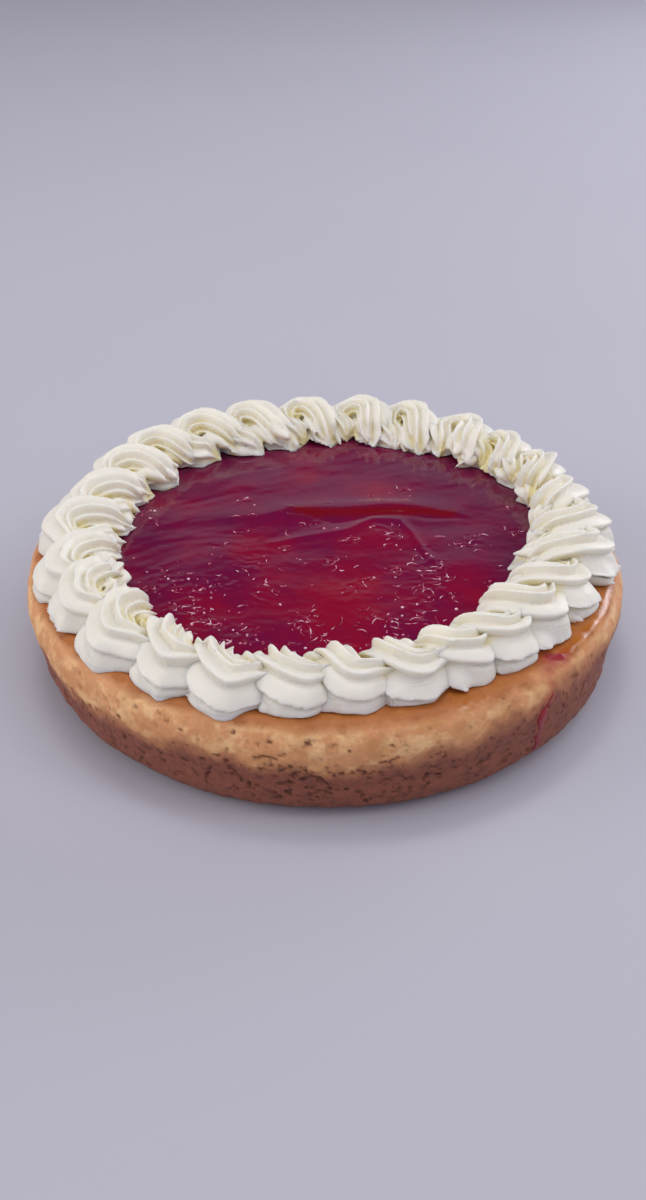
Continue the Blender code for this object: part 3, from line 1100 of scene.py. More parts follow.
    def froth_spots(self) -> list[tuple[float, ...]]:
        """Middles and widths of the patches of bubbles and curled skin, in millimetres.

        Returns:
            A place across, a place away and a width for each patch.
        """
        seen = list(self.froth)
        chance = random.Random(self.seed)
        for _ in range(self.stray_froth):
            across, away = chance.uniform(-88, 88), chance.uniform(-88, 45)
            if chance.random() < 0.35 + 0.65 * float(blend_in(away, 10.0, -40.0)):
                seen.append((across, away, chance.uniform(1.5, 4.0)))
        return seen

    def rippled(self, piece: bpy.types.Object) -> None:
        """Sculpt the jam's surface, paint it brighter red towards the front middle, and paint the
        slope below the fold a purer red where it shows no sheen: painted light.

        Args:
            piece: The flat disc, which is changed.
        """
        points = read_points(piece)
        across, away = points[:, 0], points[:, 1]
        upper = points[:, 2] > self.bottom + 0.5 * self.thickness
        inside = blend_in(np.hypot(across, away), self.radius, self.radius - 6 * MM)
        flat = points * (1.0, 1.0, 0.0)
        bent = flat.copy()
        for axis in (0, 1):
            bent[:, axis] += self.waver * noise_at(flat, self.waver_size, 7 + axis)
        tilt = math.radians(self.ripple_slant)
        slant = np.zeros_like(bent)
        slant[:, 0] = math.cos(tilt) * bent[:, 0] + math.sin(tilt) * bent[:, 1]
        slant[:, 1] = -math.sin(tilt) * bent[:, 0] + math.cos(tilt) * bent[:, 1]

        # Broad swells, slanting ripples at the left and back, small dents at the front.
        to_left = blend_in(across, 0.0, -50 * MM)
        to_front = blend_in(away, 10 * MM, -50 * MM)
        to_back = blend_in(away, 20 * MM, 70 * MM)
        lift = 0.20 * MM * noise_at(bent, (0.026, 0.015, 1.0), 1)
        lift += (0.02 + 0.06 * to_left + 0.05 * to_back) * MM * noise_at(
            slant, (0.013, 0.0042, 1.0), 2)
        lift += (0.02 + 0.03 * to_front) * MM * noise_at(bent, (0.0055, 0.0040, 1.0), 3)

        fade = blend_in(across, -30 * MM, -14 * MM) * blend_in(across, 68 * MM, 48 * MM)
        for line, (rise, width) in ((self.ridge, self.ridge_form),
                                    (self.crease, self.crease_form), (self.lip, self.lip_form)):
            lift += fade * rise * MM * bell(self.line_distance(bent, line), width * MM)
        froth = np.zeros(len(points))
        for wide, far, size in self.froth_spots():
            gap = np.hypot(across - wide * MM, away - far * MM)
            froth = np.maximum(froth, bell(gap, size * MM))
        lift += self.froth_rise * froth * noise_at(bent, 0.0026, 4)
        points[upper, 2] = (self.top(across, away) + inside * lift)[upper]
        write_points(piece, points)

        # A patch of brighter red towards the front middle.
        wide, far, width = self.front_red_patch
        front = np.hypot(across - wide * MM, (away - far * MM) * 0.8)
        paint(piece, "clear", bell(front, width * MM))
        # Painted light: a purer red on the slope below the fold, where it shows no sheen.
        slope = self.line_distance(flat, self.slope) * (1.0 + 0.35 * noise_at(flat, 0.006, 10))
        paint(piece, "thin", bell(slope, self.slope_width))

    def build(self, finish: StrawberryJam) -> bpy.types.Object:
        """Make the layer of jam.

        Args:
            finish: the jam's finish.

        Returns:
            The dressed piece.
        """
        piece = self.flat_disc()
        self.rippled(piece)
        tidy_mesh(piece)
        finish_piece(piece, finish.material(), Slot.JAM, "jam_layer")
        return piece


@dataclass
class JamCurls:
    """The curls of frothy skin on the jam: short bent threads, most of them in patches, whose
    pale finish is partly painted highlight.

    Lengths are in millimetres.
    """

    layer: JamLayer
    seed: int = 41
    shortest: float = 0.8
    longest: float = 6.5
    thinnest: float = 0.24
    thickest: float = 0.56
    most_bend: float = 3.6
    bubbles: float = 0.30           # share of small round ones among them
    bubble_width: tuple[float, float] = (0.6, 1.4)
    rise: float = 0.26
    float_height: float = 0.10
    per_millimetre: float = 1.7
    farthest: float = 88.0
    segments: int = 8
    rings: int = 14

    def thread(self, wide: float, far: float, chance: random.Random) -> bpy.types.Object:
        """Lay one curl.

        Args:
            wide: millimetres to the right of the cake's middle.
            far: millimetres to the back of it.
            chance: the curls' random draws.

        Returns:
            A bent thread, thin at both ends, half sunk in the jam.
        """
        curl = unit_ball(self.segments, self.rings)
        ball = read_points(curl)
        length = self.shortest + (self.longest - self.shortest) * chance.random() ** 1.6
        bend = chance.uniform(-self.most_bend, self.most_bend)
        lean = chance.gauss(0.8, 0.9)
        width, rise = chance.uniform(self.thinnest, self.thickest), self.rise
        if chance.random() < self.bubbles:
            length, bend = chance.uniform(*self.bubble_width), 0.0
            width, rise = 0.9 * length, 0.35 * length
        part = 0.5 * ball[:, 2]
        turn = lean + bend * part * (1.0 + 0.7 * part)
        along = length * part
        aside = (0.5 * bend * length * part * part
                 + ball[:, 0] * width * 0.5 * np.cos(turn - lean))
        points = np.empty_like(ball)
        points[:, 0] = wide + along * math.cos(lean) - aside * math.sin(lean)
        points[:, 1] = far + along * math.sin(lean) + aside * math.cos(lean)
        points[:, :2] *= MM
        top = self.layer.top(points[:, 0], points[:, 1])
        points[:, 2] = top + (self.float_height + rise * ball[:, 1]) * MM
        write_points(curl, points)
        return curl

    def build(self, finish: JamFrothAndGlints) -> bpy.types.Object:
        """Scatter the curls over the jam.

        Args:
            finish: the froth's finish.

        Returns:
            One piece with all the curls.
        """
        chance = random.Random(self.seed)
        curls = []
        for wide, far, size in self.layer.froth_spots():
            for _ in range(max(2, round(size * self.per_millimetre))):
                spot = (wide + chance.gauss(0.0, size * 1.1), far + chance.gauss(0.0, size * 1.0))
                if math.hypot(*spot) < self.farthest:
                    curls.append(self.thread(*spot, chance))
        piece = join_pieces(curls, "jam_froth_glint_curls")
        finish_piece(piece, finish.material(), Slot.JAM)
        return piece


# ---- cream ----------------------------------------------------------------------------
@dataclass
class PipedSwirl:
    """How one swirl is piped: its place on the ring and the hand's small differences.

    Its turn, twist and roll are in radians; ridges holds the start, end, height and sideways
    spread of each ridge.
    """

    turn: float
    softness: float
    size: float
    twist: float
    lift: float
    roll: float
    shift: float
    ridges: list[list[float]]
    wander: Keys
    leaf_draws: Keys
    inner: float
    outer: float

    @property
    def outward(self) -> Points:
        """Direction from the cake's middle to the swirl."""
        return np.array((math.sin(self.turn), -math.cos(self.turn), 0.0))

    @property
    def along(self) -> Points:
        """Direction of the ring at the swirl."""
        return np.array((math.cos(self.turn), math.sin(self.turn), 0.0))


@dataclass
class CreamRing:
    """The ring of piped swirls round the edge of the cake's top.

    A swirl is one ridged stream laid along a stroke of keys, with a few tongues where the
    nozzle first let go.  Its own axes are along the ring, outward and up.
    """

    ground: Cheesecake
    jam: JamLayer
    count: int = 27
    first_turn: float = -44.0
    crowding: float = 7.0           # degrees that the swirls close up towards the back
    ring_radius: float = 0.1045
    ring_width: float = 0.0345
    stream: float = 0.0095          # radius of the stream

    # The stroke: place along and outward in swirl sizes, up in stream radii, and girth.
    stroke: Keys = (
        (-0.48, -0.70, 0.28, 0.64), (-0.45, -0.50, 0.52, 0.76), (-0.39, -0.26, 0.88, 0.86),
        (-0.32, 0.04, 1.02, 0.90), (-0.12, 0.22, 0.88, 0.98), (0.14, 0.26, 0.76, 1.00),
        (0.37, 0.15, 0.72, 0.93), (0.43, -0.05, 0.74, 0.86), (0.31, -0.26, 0.70, 0.82),
        (0.15, -0.42, 0.52, 0.80), (0.05, -0.58, 0.34, 0.66))
    steps: int = 72
    rounding_steps: int = 5
    lean: float = 0.55              # how far the upper keys lean down along the ring
    lean_from: float = 1.2

    # The ridges of the stream: how many, their form, and how deep from the start to the end.
    petals: int = 9
    tooth_points: int = 12
    ridge_crest: float = 0.20
    steep_face: float = 0.90
    thin_face: float = 1.5
    broad_face: float = 0.85
    start_depth: float = 0.66
    ridge_depth: float = 0.50
    flat_depth: float = 0.90
    waver: float = 0.30
    fullness: float = 1.1
    stream_turn: float = 0.7        # radians that the stream turns about itself
    warp: float = 0.42              # crowds the ridges away from the wide side
    wide_turn: float = 150.0
    fan: float = 0.85               # spreads the start sideways

    # The outer side: a skirt, a drape over the ridges, and corners that are drawn out.
    skirt: float = 0.10
    skirt_turn: float = 140.0
    skirt_width: float = 38.0
    drape: float = 1.02
    drape_turn: float = 130.0
    drape_width: float = 50.0
    drape_ridge: float = 0.16
    drape_cell: float = 0.8 * MM
    drape_slope: float = 0.32
    grooves: tuple[float, float] = (1.0, 2.6)       # millimetres kept open, low and high
    corner: float = 4.2 * MM
    tuck: float = 4.4 * MM
    sag: tuple[float, float, float] = (0.5, -1.7, -2.6)     # millimetres outward, low to high
    sag_height: float = 14.0 * MM
    edge_wave: float = 1.5
    edge_wave_size: float = 0.0055
    rough_layers: Keys = ((0.32, 0.0085), (0.10, 0.0026))   # millimetres high, feature size

    # The tongues: tip along, outward and up, then width and height in millimetres.
    leaves: Keys = (
        (-0.66, -0.60, 0.60, 7.8, 7.8), (-0.42, -0.63, 0.72, 7.2, 7.4),
        (-0.16, -0.58, 0.56, 7.2, 7.0))
    leaf_slant: float = 0.15
    leaf_root: float = -0.08
    leaf_rise: float = 0.98
    leaf_arch: float = 1.2 * MM
    leaf_segments: int = 20
    leaf_rings: int = 16

    # What changes round the ring, as keys of turn and value: millimetres outward, reach of the
    # inner and of the outer keys, and height.
    off_centre: Keys = (
        (-180, -2.0), (-165, -6.0), (-150, -6.0), (-125, -5.5), (-105, -8.0), (-88, -5.0),
        (-75, -2.0), (-45, -0.8), (-15, 1.0), (0, -1.5), (15, -3.5), (30, -6.0), (45, -6.5),
        (60, -6.5), (75, -2.0), (95, -1.5), (110, -3.5), (130, -2.5), (150, -1.2), (180, -2.0))
    inner_reach: Keys = (
        (-180, 0.75), (-165, 1.20), (-150, 0.8), (-120, 0.75), (-105, 0.7), (-90, 0.85),
        (-75, 0.90), (-50, 0.60), (-15, 0.54), (2, 0.42), (18, 0.56), (35, 0.58), (60, 0.68),
        (75, 1.15), (92, 0.78), (110, 0.30), (132, 0.50), (150, 1.05), (165, 0.8), (180, 0.75))
    outer_reach: Keys = (
        (-180, 1.0), (-60, 1.0), (-35, 0.78), (0, 0.66), (30, 0.68), (55, 0.90), (70, 1.0),
        (180, 1.0))
    flatness: Keys = (
        (-180, 0.92), (-160, 0.80), (-140, 0.82), (-100, 0.88), (-60, 0.88), (-30, 0.78),
        (0, 0.74), (18, 0.76), (40, 0.78), (65, 0.86), (90, 0.94), (180, 0.92))

    # The hand's unevenness, and the larger, softer swirls on the left.
    seed: int = 27
    teeth: int = 7                  # ridges with draws of their own, then they repeat
    turn_spread: float = 1.2
    size_spread: float = 0.05
    twist_spread: float = 9.0
    lift_spread: float = 0.06
    roll_spread: float = 0.35
    shift_spread: float = 0.0012
    # Each ridge's start, end, height and sideways spread are drawn from these spans.
    ridge_spans: Keys = ((0.00, 0.12), (0.92, 1.00), (0.85, 1.12), (0.00, 0.55))
    key_spread: tuple[float, ...] = (0.030, 0.022, 0.06, 0.05)
    leaf_spread: tuple[float, ...] = (0.05, 0.05, 0.40, 0.18, 0.26)
    soft_turn: float = 268.0
    soft_reach: float = 38.0
    soft_growth: float = 0.05

    # The grid on which the hollows between the arms are measured for their painted shade, and how
    # many cells away.
    hollow_cell: float = 1.0 * MM
    hollow_cells: int = 135
    hollow_reach: tuple[int, int] = (2, 8)

    voxel: float = 0.52 * MM
    smoothing: int = 1

    @property
    def around(self) -> int:
        """Points round the stream."""
        return self.petals * self.tooth_points

    @property
    def pitch(self) -> float:
        """Length of the ring that each swirl takes up."""
        return 2.0 * math.pi * self.ring_radius / self.count

    def by_turn(self, keys: Keys, degrees: float) -> float:
        """Read a value that changes round the ring, given by keys of turn and value."""
        return float(np.interp((degrees + 180.0) % 360.0 - 180.0, *np.array(keys).T))

    def hand(self, index: int, chance: random.Random) -> PipedSwirl:
        """Draw one swirl's differences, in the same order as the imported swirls.

        Args:
            index: which swirl, counted round the ring.
            chance: the ring's random draws.

        Returns:
            Where the swirl stands and how it is piped.
        """
        own = random.Random(self.seed * 100 + index)
        even = self.first_turn + 360.0 * index / self.count
        degrees = even - self.crowding * (1.0 - math.cos(math.radians(even - self.first_turn)))
        degrees += chance.uniform(-self.turn_spread, self.turn_spread)
        softness = math.exp(-((degrees % 360.0 - self.soft_turn) / self.soft_reach) ** 2)
        return PipedSwirl(
            turn=math.radians(degrees),
            softness=softness,
            size=chance.uniform(1.0 - self.size_spread, 1.0 + self.size_spread)
            + self.soft_growth * softness,
            twist=math.radians(chance.uniform(-self.twist_spread, self.twist_spread)),
            lift=chance.uniform(1.0 - self.lift_spread, 1.0 + self.lift_spread)
            * self.by_turn(self.flatness, degrees),
            roll=chance.uniform(-self.roll_spread, self.roll_spread),
            shift=chance.uniform(-self.shift_spread, self.shift_spread),
            ridges=[[chance.uniform(*span) for _ in range(self.teeth)]
                    for span in self.ridge_spans],
            wander=[tuple(spread * own.uniform(-1.0, 1.0) for spread in self.key_spread)
                    for _ in self.stroke],
            leaf_draws=[tuple(own.uniform(-1.0, 1.0) for _ in self.leaf_spread)
                        for _ in self.leaves],
            inner=self.by_turn(self.inner_reach, degrees),
            outer=self.by_turn(self.outer_reach, degrees))

    def template(self) -> bpy.types.Object:
        """A straight closed tube with a ring of points for every step of the stroke.

        Returns:
            The tube, which every swirl is a copy of.
        """
        bpy.ops.mesh.primitive_circle_add(vertices=self.around, radius=1.0, fill_type="NGON")
        piece = fresh("piping_tube")
        with edit_mode(piece):
            for _ in range(self.steps):
                bpy.ops.mesh.extrude_region_move(
                    TRANSFORM_OT_translate={"value": (0.0, 0.0, 1.0)})
            bpy.ops.mesh.select_all(action="SELECT")
            bpy.ops.mesh.normals_make_consistent(inside=False)
        return piece

    def stations(self, hand: PipedSwirl) -> tuple[Points, Points]:
        """Lay the middle of the stream along a smooth curve through the stroke's keys.

        Args:
            hand: the swirl's differences.

        Returns:
            Middles and radii of the stream, one for each step, in the swirl's own axes.
        """
        keys = np.array(self.stroke) + np.array(hand.wander)
        keys[:, 1] *= np.where(keys[:, 1] < 0.0, hand.inner, hand.outer)
        keys[:, 2] -= self.lean * keys[:, 0] * ease(keys[:, 2] / self.lean_from)
        padded = np.vstack((2.0 * keys[0] - keys[1], keys, 2.0 * keys[-1] - keys[-2]))
        spans = len(keys) - 1
        place = np.linspace(0.0, spans, self.steps + 1)
        span = np.minimum(place.astype(int), spans - 1)
        t = (place - span)[:, None]
        curve = 0.5 * ((-t + 2.0 * t ** 2 - t ** 3) * padded[span]
                       + (2.0 - 5.0 * t ** 2 + 3.0 * t ** 3) * padded[span + 1]
                       + (t + 4.0 * t ** 2 - 3.0 * t ** 3) * padded[span + 2]
                       + (t ** 3 - t ** 2) * padded[span + 3])
        half = self.rounding_steps
        weights = np.hanning(2 * half + 3)[1:-1]
        weights /= weights.sum()
        for column in range(curve.shape[1]):
            curve[:, column] = np.convolve(np.pad(curve[:, column], half, mode="reflect",
                                                  reflect_type="odd"), weights, "valid")
        scale = np.array((self.pitch * hand.size, self.ring_width * hand.size,
                          self.stream * hand.lift))
        return curve[:, :3] * scale, curve[:, 3] * self.stream * hand.size

    def reach(self, hand: PipedSwirl, part: float) -> Points:
        """The ridged section of the stream.

        Args:
            hand: the swirl's differences.
            part: how far along the stroke, 0 to 1.

        Returns:
            Distance of the skin from the middle in stream radii, for every point round it.
        """
        # Each ridge has a steep face and a broad one, which fills out along the stroke.
        tooth, place = np.divmod(np.arange(self.around), self.tooth_points)
        across = place / self.tooth_points
        steep = np.clip(across / self.ridge_crest, 0.0, 1.0) ** self.steep_face
        broadness = (self.thin_face
                     + (self.broad_face - self.thin_face) * blend_in(part, 0.0, 0.28))
        broad = np.clip((1.0 - across) / (1.0 - self.ridge_crest), 0.0, 1.0) ** broadness
        blade = np.minimum(steep, broad)
        place_on_arm = np.column_stack((tooth * 3.7, np.full(self.around, 4.5 * part),
                                        np.full(self.around, 40.0 * hand.shift / MM)))
        uneven = 1.0 + self.waver * noise_at(place_on_arm, 1.0, 33)
        starts, ends, tall, splay = (np.array(values)[tooth % self.teeth]
                                     for values in hand.ridges)

        # Ridges are deep at the start, each begins and ends in its own place.
        depth = self.ridge_depth * (1.0 - 0.5 * hand.softness)
        depth += (self.start_depth - self.ridge_depth) * blend_in(part, 0.22, 0.0)
        depth *= 1.0 - (1.0 - self.flat_depth) * blend_in(part, 0.15, 0.40)
        core = blend_in(part, 0.01, 0.21) * blend_in(part, 0.99, 0.85)
        begun = blend_in(part - starts, -0.035, 0.075)
        unended = blend_in(ends - part, -0.03, 0.03)
        spread = 1.0 + splay * blend_in(part, 0.16, 0.0)
        ridge = (0.05 + depth * tall * uneven) * blade
        body = self.fullness * ((1.0 - 0.95 * depth) * core + ridge * begun * unended * spread)

        # On the outer side the stream is fuller, and its ridges are shallow.
        turn = np.degrees(self.turns(hand, part)) % 360.0
        middle = blend_in(part, 0.22, 0.42) * blend_in(part, 0.92, 0.72)
        body *= 1.0 + self.skirt * middle * bell(turn - self.skirt_turn, self.skirt_width)
        drape = self.drape * middle * bell(turn - self.drape_turn, self.drape_width)
        drape *= 1.0 + 0.4 * (uneven - 1.0) + self.drape_ridge * (blade * tall - 0.5)
        return np.maximum(body, drape)

    def turns(self, hand: PipedSwirl, part: float) -> Points:
        """Angle of every point round the stream: 0 towards the hollow, 90 degrees down."""
        even = (2.0 * np.pi * np.arange(self.around) / self.around + hand.roll
                + self.stream_turn * (part - 0.5))
        return even + self.warp * np.sin(even - math.radians(self.wide_turn))

    def streamed(self, hand: PipedSwirl) -> Points:
        """Lay the ridged section along the stroke and draw its outer corners.

        Args:
            hand: the swirl's differences.

        Returns:
            The skin of the stream: steps by points round it by coordinates.
        """
        middles, radii = self.stations(hand)
        skin = np.empty((self.steps + 1, self.around, 3))
        across = None
        for index, middle in enumerate(middles):
            part = index / self.steps
            ahead = middles[min(index + 1, self.steps)]
            behind = middles[max(index - 1, 0)]
            forward = (ahead - behind) / np.linalg.norm(ahead - behind)
            if across is None:
                across = np.cross(forward, (0.0, 0.0, 1.0))
            across = across - forward * (across @ forward)
            across /= np.linalg.norm(across)
            over = np.cross(forward, across)
            reach = np.maximum(radii[index] * self.reach(hand, part), GAP / 2.0)
            turn = self.turns(hand, part)
            wide = 1.0 + self.fan * blend_in(part, 0.22, 0.0)
            skin[index] = middle + reach[:, None] * (np.cos(turn)[:, None] * across * wide
                                                     + np.sin(turn)[:, None] * over)
        half = 0.5 * self.pitch
        left, right = (blend_in(sign * skin[..., 0] / half, 0.1, 0.9) for sign in (-1.0, 1.0))
        outer = blend_in(skin[..., 1], 1.0 * MM, 10.0 * MM)
        low = blend_in(skin[..., 2], 1.1 * self.stream, 0.0)
        skin[..., 0] -= self.corner * left * outer * low
        skin[..., 1] += (0.6 * self.corner * left * low - self.tuck * right) * outer
        return skin

    def leaf(self, ball: bpy.types.Object, hand: PipedSwirl, index: int) -> bpy.types.Object:
        """One tongue of cream at the inner side, where the nozzle first let go.

        Args:
            ball: a unit sphere that is drawn out into the tongue.
            hand: the swirl's differences.
            index: which of the swirl's tongues it is.

        Returns:
            The tongue in the swirl's own axes: flat-sided, crested and narrow at its tip.
        """
        along, outward, up, width, height = self.leaves[index]
        drift, reach, rise, girth, point = np.array(hand.leaf_draws[index]) * self.leaf_spread
        scale = np.array((self.pitch, self.ring_width, self.stream)) * hand.size
        tip = np.array((along + drift, hand.inner * outward + reach, up + rise)) * scale
        root = np.array((along + drift + self.leaf_slant, self.leaf_root, self.leaf_rise)) * scale
        unit = read_points(ball)
        part = 0.5 * (unit[:, 2] + 1.0)
        taper = (0.56 + point) + (0.44 - point) * part
        ahead = (root - tip) / np.linalg.norm(root - tip)
        side = np.cross(ahead, (0.0, 0.0, 1.0))
        side /= np.linalg.norm(side)
        over = np.cross(side, ahead)
        crest = unit[:, 1] * (1.0 - 0.30 * np.abs(unit[:, 0]))
        crest *= np.where(unit[:, 1] > 0.0, 1.0, 1.5)
        middle = tip + part[:, None] * (root - tip)
        middle[:, 2] += self.leaf_arch * np.sin(math.pi * part)
        wide = (unit[:, 0] + 0.30 * unit[:, 1]) * taper * 0.5 * width * (1.0 + girth) * MM
        tall = crest * taper * 0.5 * height * MM
        piece = bpy.data.objects.new("tongue", ball.data.copy())
        bpy.context.collection.objects.link(piece)
        write_points(piece, middle + wide[:, None] * side + tall[:, None] * over)
        return piece

    def on_ring(self, hand: PipedSwirl) -> Matrix:
        """Matrix from the swirl's own axes to its place on the cake.

        Args:
            hand: How this swirl was piped.

        Returns:
            The matrix.
        """
        outward, along = Vector(hand.outward), Vector(hand.along)
        axes = Matrix((along, outward, Vector((0.0, 0.0, 1.0)))).transposed().to_4x4()
        aside = self.by_turn(self.off_centre, math.degrees(hand.turn)) * MM
        middle = outward * (self.ring_radius + hand.shift + aside)
        middle.z = self.ground.height + GAP
        return Matrix.Translation(middle) @ axes @ Matrix.Rotation(hand.twist, 4, "Z")

    def floor(self, points: Points) -> Points:
        """Height of what the cream lies on, under each point.

        Args:
            points: Points of the cream.

        Returns:
            One height for each point.
        """
        radius = np.hypot(points[:, 0], points[:, 1])
        cake = self.ground.top_height(radius)
        cake = np.where(radius < self.ground.radius - 0.5 * MM, cake, 0.0)
        jam = np.where(radius < self.jam.radius, self.jam.top(points[:, 0], points[:, 1]), 0.0)
        return np.maximum(cake, jam) + GAP

    def swirl(self, template: bpy.types.Object, ball: bpy.types.Object, hand: PipedSwirl,
              name: str) -> bpy.types.Object:
        """Pipe one swirl.

        Args:
            template: the straight tube.
            ball: a unit sphere for the tongues.
            hand: the swirl's differences.
            name: the new piece's name.

        Returns:
            The swirl as one closed body, resting on the cake and the jam.
        """
        piece = bpy.data.objects.new(name, template.data.copy())
        piece.data.name = name
        bpy.context.collection.objects.link(piece)
        tube = read_points(template)
        step = np.rint(tube[:, 2]).astype(int)
        point = np.rint(np.arctan2(tube[:, 1], tube[:, 0]) / (2.0 * np.pi)
                        * self.around).astype(int) % self.around
        write_points(piece, self.streamed(hand)[step, point])
        tongues = [self.leaf(ball, hand, index) for index in range(len(self.leaves))]
        pick_only(piece)
        for tongue in tongues:
            tongue.select_set(True)
        bpy.ops.object.join()
        piece.data.transform(self.on_ring(hand))
        tidy_mesh(piece)
        apply_modifier(piece, "REMESH", mode="VOXEL", voxel_size=self.voxel)
        apply_modifier(piece, "SMOOTH", factor=0.5, iterations=self.smoothing)
        points = self.draped(self.sagged(read_points(piece)), read_normals(piece), hand)
        rough = MM * layered(points, self.rough_layers, 21)
        points += read_normals(piece) * rough[:, None]
        points[:, 2] = np.maximum(points[:, 2], self.floor(points))
        write_points(piece, points)
        return piece

    def draped(self, points: Points, normals: Points, hand: PipedSwirl) -> Points:
        """Let the outer arms lie on each other like draped folds, with shallow creases.

        Args:
            points: the swirl's points.
            normals: their normals.
            hand: the swirl's differences.

        Returns:
            The points, the deep creases of the outer side filled from above.
        """
        out, side = points @ hand.outward, points @ hand.along
        up = np.maximum(points[:, 2] - self.ground.height, 0.0)
        facing = normals @ hand.outward
        column = ((side - side.min()) / self.drape_cell).astype(int)
        row = (up / self.drape_cell).astype(int)
        reach = np.full((column.max() + 1, row.max() + 1), -1.0)
        outer = facing > 0.0
        np.maximum.at(reach, (column[outer], row[outer]), out[outer])
        wanted = reach.copy()
        for level in range(reach.shape[1] - 2, -1, -1):
            wanted[:, level] = np.maximum(reach[:, level], wanted[:, level + 1]
                                          + self.drape_slope * self.drape_cell)
        height = (np.arange(reach.shape[1]) + 0.5) * self.drape_cell
        low, high = self.grooves
        groove = low + (high - low) * blend_in(height, 5.0 * MM, 13.0 * MM)
        fill = np.where(reach > 0.0, np.maximum(wanted - groove * MM - reach, 0.0), 0.0)
        push = blurred(fill)[column, row] * blend_in(facing, -0.2, 0.3)
        return points + push[:, None] * hand.outward

    def sagged(self, points: Points) -> Points:
        """Let the outer side of the cream sink and spread at its foot, with an uneven edge.

        Args:
            points: Points of the cream.

        Returns:
            The same points, moved.
        """
        radius = np.hypot(points[:, 0], points[:, 1])
        up = np.clip((points[:, 2] - self.ground.height) / self.sag_height, 0.0, 1.0)
        out = np.interp(up, (0.0, 0.5, 1.0), self.sag)
        out += self.edge_wave * (1.0 - up) ** 2 * noise_at(points * (1.0, 1.0, 0.3),
                                                           self.edge_wave_size, 23)
        out *= blend_in(radius, 101 * MM, 113 * MM)
        moved = points.copy()
        moved[:, :2] *= (1.0 + out * MM / radius)[:, None]
        return moved

    def hollows(self, pieces: Sequence[bpy.types.Object]) -> None:
        """Paint the pale yellow shade of the hollows: how far each point lies below the cream on
        every side of it.

        Args:
            pieces: All the swirls, in place.
        """
        cell, half = self.hollow_cell, self.hollow_cells
        tops = np.full((2 * half + 1, 2 * half + 1), self.ground.height)
        clouds = [read_points(piece) for piece in pieces]
        for points in clouds:
            spots = np.rint(points[:, :2] / cell).astype(int) + half
            np.maximum.at(tops, (spots[:, 0], spots[:, 1]), points[:, 2])
        sides = []
        for turn in range(8):
            wide, far = math.cos(turn * math.pi / 4.0), math.sin(turn * math.pi / 4.0)
            best = np.full_like(tops, self.ground.height)
            for reach in range(*self.hollow_reach):
                best = np.maximum(best, np.roll(tops, (-round(wide * reach), -round(far * reach)),
                                                axis=(0, 1)))
            sides.append(best)
        walled = blurred(np.sort(np.array(sides), axis=0)[3])
        for piece, points in zip(pieces, clouds):
            spots = np.rint(points[:, :2] / cell).astype(int) + half
            depth = walled[spots[:, 0], spots[:, 1]] - points[:, 2]
            below_top = tops[spots[:, 0], spots[:, 1]] - points[:, 2]
            seen = blend_in(below_top, 6.0 * MM, 3.0 * MM)
            seen *= blend_in(np.hypot(points[:, 0], points[:, 1]), 110.0 * MM, 105.0 * MM)
            # Painted shade: pale yellow where a point lies deep in the hollows between the arms.
            paint(piece, "hollow_shade", seen * blend_in(depth, 1.2 * MM, 5.0 * MM))

    def build(self, finish: WhippedCream) -> list[bpy.types.Object]:
        """Pipe the whole ring.

        Args:
            finish: the cream's finish.

        Returns:
            The dressed swirls in order.
        """
        chance = random.Random(self.seed)
        hands = [self.hand(index, chance) for index in range(self.count)]
        template = self.template()
        ball = unit_ball(self.leaf_segments, self.leaf_rings)
        pieces = [self.swirl(template, ball, hand, "whipped_cream_%02d" % index)
                  for index, hand in enumerate(hands, 1)]
        for helper in (template, ball):
            bpy.data.objects.remove(helper, do_unlink=True)
        self.hollows(pieces)
        material = finish.material()
        for index, piece in enumerate(pieces, 1):
            finish_piece(piece, material, Slot.CREAM, "cream_swirl_%02d" % index)
        return pieces


# ---- runs of jam and crumbs -----------------------------------------------------------
@dataclass
class JamTrail:
    """A thin run of jam that has dried on the crust, along a line of keys.

    Each key is a turn in degrees, a radius and a height on the skin, the run's width and its
    thickness, all lengths in millimetres.
    """

    name: str
    keys: Keys
    rings: int = 64
    segments: int = 24
    film: float = 0.03

    def build(self, cake: bpy.types.Object, finish: bpy.types.Material) -> bpy.types.Object:
        """Lay the run on the cake.

        Args:
            cake: the cake body that it lies on.
            finish: the jam's material.

        Returns:
            The dressed piece.
        """
        unit_ball(self.segments, self.rings)
        piece = fresh(self.name)
        ball = read_points(piece)
        skin = BVHTree.FromObject(cake, bpy.context.evaluated_depsgraph_get())
        keys = np.array(self.keys)
        part = (np.arcsin(np.clip(ball[:, 2], -1.0, 1.0)) / math.pi + 0.5) * (len(keys) - 1)
        turn, radius, height, width, thick = (np.interp(part, np.arange(len(keys)), column)
                                              for column in keys.T)
        girth = np.sqrt(np.maximum(1.0 - ball[:, 2] ** 2, TINY))
        full = np.minimum(girth * 3.0, 1.0)
        side, up = ball[:, 0] / girth, ball[:, 1] / girth
        moved = np.empty_like(ball)
        for index in range(len(ball)):
            aside = math.degrees(side[index] * full[index] * 0.5 * width[index] / radius[index])
            guess = place_at(turn[index] + aside, radius[index] * MM, height[index] * MM)
            spot, normal, _, _ = skin.find_nearest(guess)
            rise = self.film + full[index] * thick[index] * max(up[index], 0.0)
            moved[index] = spot + normal * (rise * MM)
        write_points(piece, moved)
        tidy_mesh(piece)
        finish_piece(piece, finish, Slot.JAM)
        return piece


